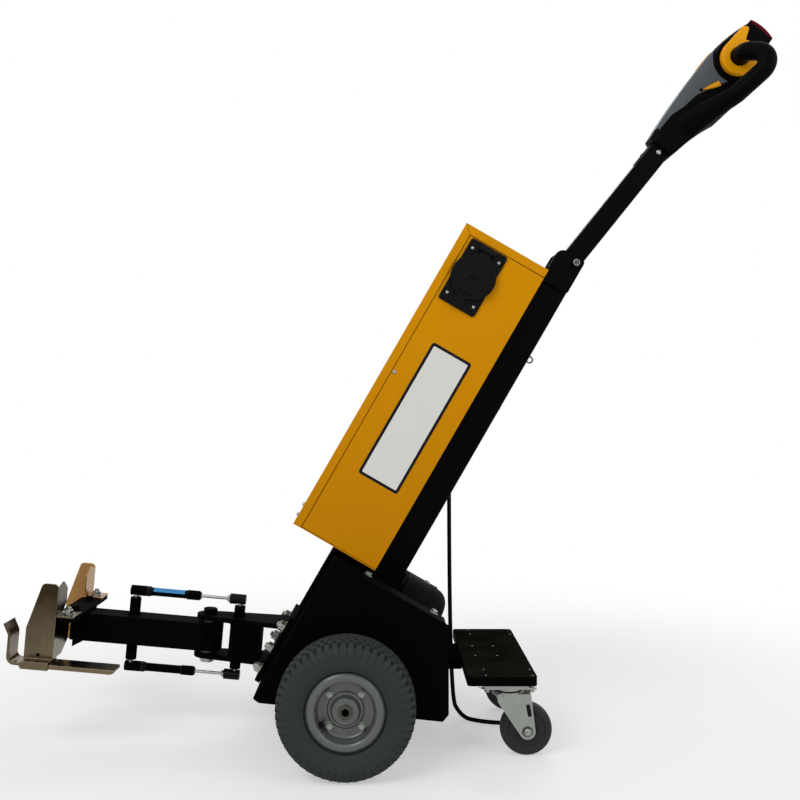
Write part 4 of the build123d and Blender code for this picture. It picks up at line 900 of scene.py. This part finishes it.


# Battery box: bare label plate, screws, painted seam shadows and the charge inlet's hardware

BOX_SIDE = 167.0
BOX_FRONT = -160.0
SIDE_SCREW = (-140, 308)
FRONT_SCREWS_UP = (16, 36)
FRONT_SCREWS_OUT = (-152, 152)
LABEL_MIDDLE = (-70.5, 257.5)
LABEL_WIDE = 76.0
LABEL_LONG = 255.0
LABEL_BORDER = 5.0
INLET_MIDDLE = (-104.5, 512.6)
INLET_FACE = 170.0
INLET_SCREWS_BEHIND = 25.5
INLET_SCREWS_UP = 43.0
SOCKET_FLOOR = BOX_SIDE - 27.4
CONTACT_CIRCLE = 11.0
CONTACT_ANGLES = np.radians((90, 210, 330))
CONTACT_PIN = ((0, 17), (2.4, 16.4), (3.6, 14.6), (3.6, 0), (0, 0))
LIP_REAR = -145.5
LIP_LOW = 573.5
COVER_SIDE = 168.5
# Width of the painted shadow lines in the seams, the fold's width and the mitre's outline
SEAM_SHADOW_WIDE = 1.1
FOLD_SHADOW_WIDE = 0.9
FOLD_UP = 2.4
MITRE_SHADOW = ((-159.3, 587.7), (-159.7, 587.3), (-145.7, 573.3), (-145.3, 573.7))


def box_seam_shadows(side):
    """Dark lines of painted shadow in the corners along the cover's lip, over the bottom fold, and across the
    lip's mitre.
    """
    upright = rounded_outline(SEAM_SHADOW_WIDE, LIP_LOW, 0.3) + (LIP_REAR + SEAM_SHADOW_WIDE / 2, LIP_LOW / 2)
    level = rounded_outline(-LIP_REAR, SEAM_SHADOW_WIDE, 0.3) + (LIP_REAR / 2, LIP_LOW - SEAM_SHADOW_WIDE / 2)
    fold = rounded_outline(-LIP_REAR, FOLD_SHADOW_WIDE, 0.3) + (LIP_REAR / 2, FOLD_UP)
    seam_shadows = [side_plate(box, outline, side, BOX_SIDE - 0.3, BOX_SIDE + 0.15, 0.05)
             for outline in (upright, level, fold)]
    return [*seam_shadows, side_plate(box, MITRE_SHADOW, side, COVER_SIDE - 0.3, COVER_SIDE + 0.1, 0.02)]


label_plate = slab(box, LABEL_MIDDLE, LABEL_WIDE, LABEL_LONG, 5, BOX_SIDE - 0.3, BOX_SIDE + 0.5, 0.2)
label_field = slab(box, LABEL_MIDDLE, LABEL_WIDE - 2 * LABEL_BORDER, LABEL_LONG - 2 * LABEL_BORDER, 2,
                   BOX_SIDE + 0.2, BOX_SIDE + 0.7, 0.1)
piece("label_plate", [label_plate], "chassis", "label_border")
piece("label_field", [label_field], "chassis", "label_field")
box_screws = [dome_screw(box.at(*SIDE_SCREW, side * BOX_SIDE), side * box.axes[2], 3.6, 2.2)
              for side in BOTH]
box_screws += dome_screws(box.each(BOX_FRONT, FRONT_SCREWS_UP, FRONT_SCREWS_OUT), -box.axes[0], 3.8, 4.2)
piece("box_screws", box_screws, "chassis", "zinc")
# Painted shadow: dark strips in the box's seams
piece("box_seam_shadows", box_seam_shadows(-1) + box_seam_shadows(1), "chassis", "seam_shadow")
inlet_corners = box.each(INLET_MIDDLE[0] + INLET_SCREWS_BEHIND * np.array(BOTH),
                         INLET_MIDDLE[1] + INLET_SCREWS_UP * np.array(BOTH), INLET_FACE)
piece("inlet_screws", dome_screws(inlet_corners, box.axes[2], 2.9, 1.7), "chassis", "zinc")
# Three contact pins with domed ends, on the floor of the charge socket
contact_feet = box.at(INLET_MIDDLE[0] + CONTACT_CIRCLE * np.cos(CONTACT_ANGLES),
                      INLET_MIDDLE[1] + CONTACT_CIRCLE * np.sin(CONTACT_ANGLES), SOCKET_FLOOR)
piece("socket_contacts", [lathe(CONTACT_PIN, foot, box.axes[2], 20) for foot in contact_feet],
      "chassis", "bare_steel")


# Mast, chassis and platform: bolts and weld beads

MAST_REAR = 62.0
MAST_HALF = 25.4
MAST_MIDDLE = 31.0
MAST_SCREW_UP = 352.0
MAST_EYE_UP = 459.0
DECK_TOP = -23.0
FLANGE_TOP = -18.0
FLANGE_BOLTS_BEHIND = (-4, 127)
FLANGE_BOLTS_OUT = (-133, 133)
CHEEK_LOW = 593.6
CHEEK_WELD = np.array([10, 60])
PIVOT_FACE = 38.7
# Socket-head rim on an end of the pivot bolt: a chamfered ring round a six-sided hole
PIVOT_RIM = ((4.4, 1.2), (5.4, 1.2), (6.2, 0.4), (6.2, -0.4), (4.4, -0.4))
# Platform screws, from the casters' pivots and from the middle: over the caster plates, then over the neck
PLATE_SCREWS_BEHIND = np.array([-43, 37])
PLATE_SCREWS_OUT = (-162, -127, 127, 162)
NECK_SCREWS_BEHIND = np.array([-48, -8])
NECK_SCREWS_OUT = (-34, 34)
NECK_WELD = np.array([-54, 54])

mast_back = box.axes[0]
piece("mast_screw", [dome_screw(box.at(MAST_REAR, MAST_SCREW_UP, 0), mast_back, 5, 3.2)], "chassis", "zinc")
piece("mast_eye", [round_ring(5.6, 1.5, box.at(MAST_REAR + 4.8, MAST_EYE_UP, 0), box.axes[2])], "chassis",
      "oiled_steel")
flange_seats = box.each(FLANGE_BOLTS_BEHIND, FLANGE_TOP, FLANGE_BOLTS_OUT)
piece("flange_bolts", bolts(flange_seats, box.axes[1], 10, 4.6, washer_r=8), "chassis", "zinc")
mast_foot = rounded_outline(MAST_REAR, 2 * MAST_HALF, 4)
mast_path = box.at(MAST_MIDDLE + mast_foot[:, 0], DECK_TOP + 0.6, mast_foot[:, 1])
cheek_welds = [weld(box.at(CHEEK_WELD, CHEEK_LOW, side * MAST_HALF), 2.4, box.axes[2]) for side in BOTH]
foot_weld = weld(mast_path, 3.0, box.axes[1], closed=True)
piece("mast_welds", [foot_weld, *cheek_welds], "chassis", "black_paint")
pivot_ends = [(tiller.at(0, 0, side * PIVOT_FACE), side * tiller.axes[2]) for side in BOTH]
piece("pivot_socket_rims", [lathe(PIVOT_RIM, end, axis, 24, wrap_rows=True, lobes=six_sided(1, 0, 0, 0, 1))
                            for end, axis in pivot_ends], "chassis", "zinc")
piece("pivot_sockets", [washer(end, axis, 5.0, 0.15) for end, axis in pivot_ends], "chassis", "oiled_steel")

platform_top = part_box("rear_platform")[1][2] / MM
caster_x = joint_place("caster_left_swivel")[0]
plate_places = floor.each(caster_x + PLATE_SCREWS_BEHIND, PLATE_SCREWS_OUT, platform_top)
neck_places = floor.each(caster_x + NECK_SCREWS_BEHIND, NECK_SCREWS_OUT, platform_top)
platform_screws = dome_screws(plate_places, UPWARD, 2.2, 1.2) + dome_screws(neck_places, UPWARD, 2.2, 0.8)
piece("platform_screws", platform_screws, "chassis", "oiled_steel")
neck_low, neck_high = (np.array(corner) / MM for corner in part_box("platform_neck"))
neck_welds = [weld(floor.at(x, NECK_WELD, neck_high[2] - 0.8), 2.2, UPWARD)
              for x in (neck_low[0] + 0.6, neck_high[0] - 0.6)]
piece("neck_welds", neck_welds, "chassis", "black_paint")


# Drive motor and gearcase: bands, screws and case bolts

MOTOR_UP = -53.0
MOTOR_R = 55.0
MOTOR_END = 160.0
MOTOR_BANDS = (80, 124)
MOTOR_BAND_WIDE = 5.0
MOTOR_SCREW_CIRCLE = 20.0
CASE_HALF = 40.0
CASE_BOLTS_BEHIND = (35, 65)
CASE_BOLTS_UP = (-40, -128)

motor_start = box.at(0, MOTOR_UP, 0)
motor_bands = [ring(MOTOR_R - 1, MOTOR_R + 1.2, low, low + MOTOR_BAND_WIDE, motor_start, box.axes[0],
                    steps=72) for low in MOTOR_BANDS]
motor_seats = box.at(MOTOR_END, MOTOR_UP + MOTOR_SCREW_CIRCLE * np.cos(QUARTERS),
                     MOTOR_SCREW_CIRCLE * np.sin(QUARTERS))
motor_screws = dome_screws(motor_seats, box.axes[0], 4, 2.6)
for side in BOTH:
    case_seats = box.each(CASE_BOLTS_BEHIND, CASE_BOLTS_UP, side * CASE_HALF)
    motor_screws += bolts(case_seats, side * box.axes[2], 8, 4, washer_r=6)
piece("motor_bands", motor_bands, "chassis", "cast_housing")
piece("motor_screws", motor_screws, "chassis", "zinc")


# Casters: axle nuts, kingpin nuts, plate nuts, bearing races and caps

CASTER_PLATE_LOW = 119.0
PLATE_NUTS_BEHIND = np.array([-38, 38])
PLATE_NUTS_OUT = np.array([-22, 22])
FORK_CROWN_LOW = 104.7
FORK_OUT = 23.0
AXLE_WASHER = 1.0
CASTER_WEB = 13.5
RACE_R = 25.0
RACE_BEAD = 1.9
RACE_UP = 110.6


def caster_hardware(tag):
    """Nuts on the fork's axle, its kingpin and the plate's corners, a race, and caps on the bearings."""
    pivot = joint_place(f"caster_{tag}_swivel")
    axle = joint_place(f"caster_{tag}_roll")
    body = f"caster_swivel_{tag}"
    left, right, down = LEFTWARD, (0, 1, 0), (0, 0, -1)
    left_face = floor.at(axle[0], axle[1] - FORK_OUT, axle[2])
    axle_nuts = bolt(floor.at(axle[0], axle[1] - FORK_OUT - AXLE_WASHER, axle[2]), left, 12, 5.0, end_r=4,
                     end_high=2.5)
    axle_nuts += bolt(floor.at(axle[0], axle[1] + FORK_OUT, axle[2]), right, 13, 5.0, washer_r=9)
    axle_nuts += bolt(floor.at(pivot[0], pivot[1], FORK_CROWN_LOW), down, 15, 5.0, washer_r=10)
    piece(f"caster_nuts_{tag}", axle_nuts, body, "zinc")
    piece(f"caster_axle_washer_{tag}", [washer(left_face, left, 9.5, AXLE_WASHER)], body, "oiled_steel")
    plate_seats = floor.each(pivot[0] + PLATE_NUTS_BEHIND, pivot[1] + PLATE_NUTS_OUT, CASTER_PLATE_LOW)
    plate_nuts = bolts(plate_seats, down, 9, 4.5, washer_r=6.5, washer_thick=1.0)
    piece(f"caster_plate_nuts_{tag}", plate_nuts, "chassis", "zinc")
    race = round_ring(RACE_R, RACE_BEAD, floor.at(pivot[0], pivot[1], RACE_UP), UPWARD, 64)
    piece(f"caster_race_{tag}", [race], body, "bare_steel")
    caps = [ring(10.4, 17, CASTER_WEB - 0.4, CASTER_WEB + 1.4, floor.at(*axle), out, 0.8)
            for out in (left, right)]
    piece(f"caster_caps_{tag}", caps, f"caster_roller_{tag}", "black_plastic")


for _, tag in SIDES:
    caster_hardware(tag)


# Hitch: clevis bolts, welds, ball necks and jaw bolts

CLEVIS_FACE = -81.0
CLEVIS_BOLTS_UP = (-191, -235, -277)
CLEVIS_BOLTS_OUT = (-45, 45)
CLEVIS_OUTER = 39.5
CLEVIS_INNER = 30.5
WEB_LONG = 57.0
WEB_MIDDLE = 70.5
ARM_HALF = 25.4
POST_R = 10.0
POST_TOP = 58.4
SPRING_Z = 70.4
ARM_BALL = -141.0
CLEVIS_BALL = 54.0
CROSS_TOP = 33.4
CROSS_MIDDLE = -240.0
CROSS_REAR = -221.4
CROSS_WELD = np.array([-24, 24])
CROSS_BOLTS_OUT = (-42, 42)
FOOT_TOP = 36.4
FOOT_NUTS_OUT = (-84, 84)
JAW_RIVET = (-278, 110, -33.5)

pin_axis = hitch.axes[2]


def post_weld(ball, level, face):
    """Weld round a spring post's foot: a bead along a circle across the swing axis."""
    turn = around(48)
    path = hitch.at(ball + POST_R * np.cos(turn), POST_R * np.sin(turn), level * (face + 0.5))
    return weld(path, 2.0, pin_axis, closed=True)


def web_weld(level):
    """Weld round an end of the clevis's web tube."""
    outline = rounded_outline(WEB_LONG, 2 * ARM_HALF, 3)
    path = hitch.at(WEB_MIDDLE + outline[:, 0], outline[:, 1], level * (CLEVIS_INNER - 0.5))
    return weld(path, 2.2, pin_axis, closed=True)


def ball_necks(ball):
    """Collars under the ball studs of the upper and the lower post."""
    return [ring(3.6, 5.6, -0.4, 2.0, hitch.at(ball, 0, level * POST_TOP), level * pin_axis, 0.6, 24)
            for level, _ in LEVELS]


clevis_seats = box.each(CLEVIS_FACE, CLEVIS_BOLTS_UP, CLEVIS_BOLTS_OUT)
clevis_bolts = bolts(clevis_seats, -box.axes[0], 16.5, 9.5, washer_r=11, end_r=5, end_high=4)
piece("clevis_bolts", clevis_bolts, "chassis", "zinc")
clevis_welds = [post_weld(CLEVIS_BALL, level, CLEVIS_OUTER) for level, _ in LEVELS]
piece("clevis_welds", clevis_welds + [web_weld(level) for level, _ in LEVELS], "chassis", "black_paint")
piece("arm_welds", [post_weld(ARM_BALL, level, ARM_HALF) for level, _ in LEVELS], "hitch", "black_paint")
piece("clevis_ball_necks", ball_necks(CLEVIS_BALL), "chassis", "zinc")
piece("arm_ball_necks", ball_necks(ARM_BALL), "hitch", "zinc")
# Painted shade: flat rivet domes on the jaws' faces, made in the near-black of shade
rivet_x, rivet_out, rivet_z = JAW_RIVET
jaw_rivet_shade = [dome_screw(hitch.at(rivet_x, side * rivet_out, rivet_z), side * hitch.axes[1], 3.3, 0.7)
              for side in BOTH]
piece("jaw_rivet_shade", jaw_rivet_shade, "hitch", "gap_shade")
cross_weld = weld(hitch.at(CROSS_REAR, CROSS_WELD, ARM_HALF + 0.6), 2.2, pin_axis)
piece("crosshead_weld", [cross_weld], "hitch", "black_paint")
cross_seats = hitch.each(CROSS_MIDDLE, CROSS_BOLTS_OUT, CROSS_TOP)
piece("crosshead_bolts", bolts(cross_seats, pin_axis, 13, 7, washer_r=9), "hitch", "black_paint")
foot_seats = hitch.each(CROSS_MIDDLE + 2, FOOT_NUTS_OUT, FOOT_TOP)
foot_nuts = bolts(foot_seats, pin_axis, 13, 6.5, washer_r=9.5, end_r=4, end_high=4)
piece("jaw_foot_nuts", foot_nuts, "hitch", "zinc")


# Gas springs: collars, gland, lock nut and a bare label

STRIPE_ENDS = (-108, -50)
STRIPE_R = 7.5
STRIPE_REACH = radians(78)
STRIPE_STATIONS = 12
STRIPE_STEPS = 25


def knurl(turn, row):
    """Radius that ripples 30 times a turn by 2 percent."""
    return 1 + 0.02 * np.cos(30 * turn) + 0 * row


def spring_stripe():
    """Thin curved sheet on the upper cylinder: a strip of its circle along it, closed round its edge.

    Point = axis place + radius * (sin t * right + cos t * up), t from -STRIPE_REACH to STRIPE_REACH; the
    sheet's two faces are one closed section.
    """
    turn = np.linspace(-STRIPE_REACH, STRIPE_REACH, STRIPE_STEPS)
    angle = np.concatenate([turn, turn[::-1]])
    radius = np.repeat([STRIPE_R + 0.12, STRIPE_R - 0.1], STRIPE_STEPS)
    along = np.linspace(*STRIPE_ENDS, STRIPE_STATIONS)
    x, angle = np.meshgrid(along, angle)
    y, z = radius[:, None] * np.sin(angle), radius[:, None] * np.cos(angle)
    return capped(hitch.at(x, y, SPRING_Z + z))


def gas_spring(level, tag):
    """Knurled collars on both sockets, a gland at the cylinder's mouth and a lock nut on the rod."""
    start = hitch.at(0, 0, level * SPRING_Z)
    along = hitch.axes[0]
    cylinder = [ring(7.2, 9.2, -121, -114, start, along, 0.6, 120, knurl),
                ring(7.2, 8.3, -113, -110, start, along, 0.5),
                ring(7.2, 9.0, -46, -43.5, start, along, 0.6),
                ring(3.5, 7.6, -22.4, -19.6, start, along, 1.2)]
    piece(f"spring_collars_{tag}", cylinder, f"spring_cylinder_{tag}", "black_plastic")
    lock_nut = ring(2.6, 5.2, 29.6, 34.4, start, along, 0.4, 24, HEX_RING)
    piece(f"rod_lock_nut_{tag}", [lock_nut], f"spring_rod_{tag}", "zinc")


for level, tag in LEVELS:
    gas_spring(level, tag)
piece("spring_label", [spring_stripe()], "spring_cylinder_upper", "spring_label")


# Tiller: clip and screws on the tube, marker strip and thumb rockers on the head

TUBE_FRONT = -27.05
TUBE_MIDDLE = -8.0
TUBE_HALF = 19.05
TUBE_BOLT_UP = 258.5
CLIP_SCREW_UP = 241.0
CLIP_MIDDLE = (243, 0)
CLIP_HIGH = 2.2
FLANK = 27.0
# Front of the head: distance ahead of its axis at three heights of its upper arc
BROW = ((150.0, -45.5), (225.0, -43.0), (274.0, -31.0))
# Thumb rocker: behind, then up, along its lower and its upper edge
ROCKER_LOWER = ((-12.4, 119.5), (-2.2, 131.5), (6.9, 146.5))
ROCKER_UPPER = ((-13.6, 120.6), (-8.5, 134.5), (-2.6, 150.0))
ROCKER_SLOT = (-15.2, 117.6)
STRIP_LOW = 151.0
STRIP_HIGH = 190.0
STRIP_MIDDLE = 170.5
STRIP_HALF = 20.5
STRIP_WIDE = 11.0
STRIP_THICK = 1.5


def through(points, at):
    """Parabola through three (place, value) rows, by Lagrange's formula."""
    (a, fa), (b, fb), (c, fc) = points
    return (fa * (at - b) * (at - c) / ((a - b) * (a - c)) + fb * (at - a) * (at - c) / ((b - a) * (b - c))
            + fc * (at - a) * (at - b) / ((c - a) * (c - b)))


def signed_power(value, power):
    """Power of a value's size, with its sign."""
    return np.sign(value) * np.abs(value) ** power


def marker_strip():
    """Low strip along the head's brow: a flat oval carried up the curve of the head's front."""
    up = np.linspace(STRIP_LOW, STRIP_HIGH, 24)
    path = head.at(through(BROW, up), up, 0)
    turn = around(24)
    taper = np.sqrt(np.clip(1 - ((up - STRIP_MIDDLE) / STRIP_HALF) ** 6, 0, 1))[:, None]
    wide = STRIP_WIDE * MM * taper * signed_power(np.cos(turn), 0.5)
    thick = STRIP_THICK * MM * taper * signed_power(np.sin(turn), 0.7)
    return swept(path, thick, wide, head.axes[2])


def rocker_edge(points):
    """Curve through three points of an edge: a parabola for each of its two coordinates."""
    t = np.linspace(0, 1, 14)
    return np.stack([through(tuple(zip((0, 0.5, 1), values)), t) for values in np.array(points).T], axis=-1)


rocker_outline = np.concatenate([rocker_edge(ROCKER_LOWER), rocker_edge(ROCKER_UPPER)[::-1]])
rockers = [side_plate(head, rocker_outline, side, FLANK - 1, FLANK + 4.5, 1.0) for side in BOTH]
piece("thumb_rockers", rockers, "tiller", "yellow_plastic")
# Painted shade: a thin near-black patch on each flank by the rocker's lower end, for the shade in its slot
slot_outline = rounded_outline(7, 5, 2) + ROCKER_SLOT
rocker_slot_shade = [side_plate(head, slot_outline, side, FLANK - 1, FLANK + 0.3, 0.1) for side in BOTH]
piece("rocker_slot_shade", rocker_slot_shade, "tiller", "gap_shade")
piece("marker_strip", [marker_strip()], "tiller", "yellow_plastic")
front_plane = Frame(tiller.at(TUBE_FRONT, 0, 0), tiller.axes[1], -tiller.axes[0])
tube_sides = [(tiller.at(TUBE_MIDDLE, TUBE_BOLT_UP, side * TUBE_HALF), side * tiller.axes[2])
              for side in BOTH]
tube_screws = [dome_screw(seat, axis, 5.2, 3.4) for seat, axis in tube_sides]
tube_screws.append(dome_screw(front_plane.at(CLIP_SCREW_UP, 0, CLIP_HIGH), -tiller.axes[0], 3.2, 2.0))
piece("tube_screws", tube_screws, "tiller", "zinc")
tube_clip = slab(front_plane, CLIP_MIDDLE, 52, 13, 4, -0.3, CLIP_HIGH, 0.6)
piece("tube_clip", [tube_clip], "tiller", "black_plastic")


# Gland nut and collar of the drag cord's elbow, on the back of the box

cord_x, cord_y, cord_z = CORD_ROUTE[0]
elbow_points = box.local(node_points("cord_elbow"))
elbow_up = elbow_points[elbow_points[:, 0] < 0.5][:, 1].mean()
gland = [ring(8.8, 12.0, -0.3, 6.0, box.at(0, elbow_up, -cord_y), box.axes[0], 0.8, 24, SOFT_HEX_RING),
         ring(3.9, 7.0, 0, 3.0, floor.at(cord_x, cord_y, cord_z - 1.0), UPWARD, 0.8, 32)]
piece("cord_gland", gland, "chassis", "black_plastic")


# Stage: pale floor, studio light and the photograph's camera

WHITE = (1, 1, 1, 1)
FLOOR_COLOR = (0.93, 0.93, 0.93, 1)
FLOOR_HALF = 4.0
# Fade of the floor to plain white: from and to a distance, from and to a share
FLOOR_FADE = (0.55, 1.6, 0.45, 1.0)
WORLD_FILL = 0.42
CAMERA_PLACE = (-0.0338, -1.8, 0.615)
CAMERA_LENS = 43.38
CAMERA_SHIFT = 0.02375
SENSOR_WIDE = 36
# Lamps: name, place, aim, size, power
LAMPS = (("key", (-1.6, -2.2, 2.6), (0, 0, 0.5), 1.6, 45), ("fill", (1.9, -1.6, 1.6), (0, 0, 0.5), 1.8, 14),
         ("back", (0.6, 2.4, 2.4), (0, 0, 0.6), 1.8, 28))


def white_to_sight(tree):
    """1 for the rays by which the background is seen: camera, glossy and transmitted ones."""
    seen = node(tree, "LightPath", out="Is Camera Ray")
    for kind in ("Is Glossy Ray", "Is Transmission Ray"):
        seen = node(tree, "Math", seen, node(tree, "LightPath", out=kind), operation="MAXIMUM")
    return seen


def studio_world():
    """White to the rays that see it, and a dimmer fill light for the others."""
    world = bpy.data.worlds.new("studio")
    world.use_nodes = True
    bpy.context.scene.world = world
    tree = world.node_tree
    tree.nodes.clear()
    fill = node(tree, "Background", Color=WHITE, Strength=WORLD_FILL)
    white = node(tree, "Background", Color=WHITE, Strength=1.0)
    node(tree, "OutputWorld", node(tree, "MixShader", white_to_sight(tree), fill, white))


def pale_floor():
    """Square floor that keeps the soft shadow near the machine and fades to plain white further out."""
    mesh = bpy.data.meshes.new("floor")
    corners = [(x * FLOOR_HALF, y * FLOOR_HALF, 0) for x, y in ((-1, -1), (1, -1), (1, 1), (-1, 1))]
    mesh.from_pydata(corners, [], [(0, 1, 2, 3)])
    thing = add_object("floor", mesh)
    material = bpy.data.materials.new("pale_floor")
    material.use_nodes = True
    tree = material.node_tree
    tree.nodes.clear()
    far = node(tree, "VectorMath", object_place(tree), operation="LENGTH", out="Value")
    fade = node(tree, "MapRange", far, *FLOOR_FADE, interpolation_type="SMOOTHSTEP")
    shown = node(tree, "Math", fade, white_to_sight(tree), operation="MULTIPLY")
    matt = node(tree, "BsdfDiffuse", Color=FLOOR_COLOR)
    white = node(tree, "Emission", Color=WHITE, Strength=1.0)
    node(tree, "OutputMaterial", node(tree, "MixShader", shown, matt, white))
    mesh.materials.append(material)


def softbox(name, place, aim, size, power):
    """Square area lamp at a place, turned to an aim."""
    lamp = bpy.data.lights.new(name, "AREA")
    lamp.size = size
    lamp.energy = power
    thing = add_object(name, lamp)
    thing.location = place
    thing.rotation_euler = (Vector(aim) - Vector(place)).to_track_quat("-Z", "Y").to_euler()


def photo_camera():
    """Level camera on the left, at the photograph's height and distance."""
    lens = bpy.data.cameras.new("photo_camera")
    lens.lens = CAMERA_LENS
    lens.sensor_width = SENSOR_WIDE
    lens.shift_x = CAMERA_SHIFT
    lens.clip_start = 0.05
    thing = add_object("photo_camera", lens)
    thing.location = CAMERA_PLACE
    thing.rotation_euler = (pi / 2, 0, 0)
    bpy.context.scene.camera = thing


studio_world()
pale_floor()
for lamp in LAMPS:
    softbox(*lamp)
photo_camera()
bpy.context.scene.view_settings.view_transform = "Standard"
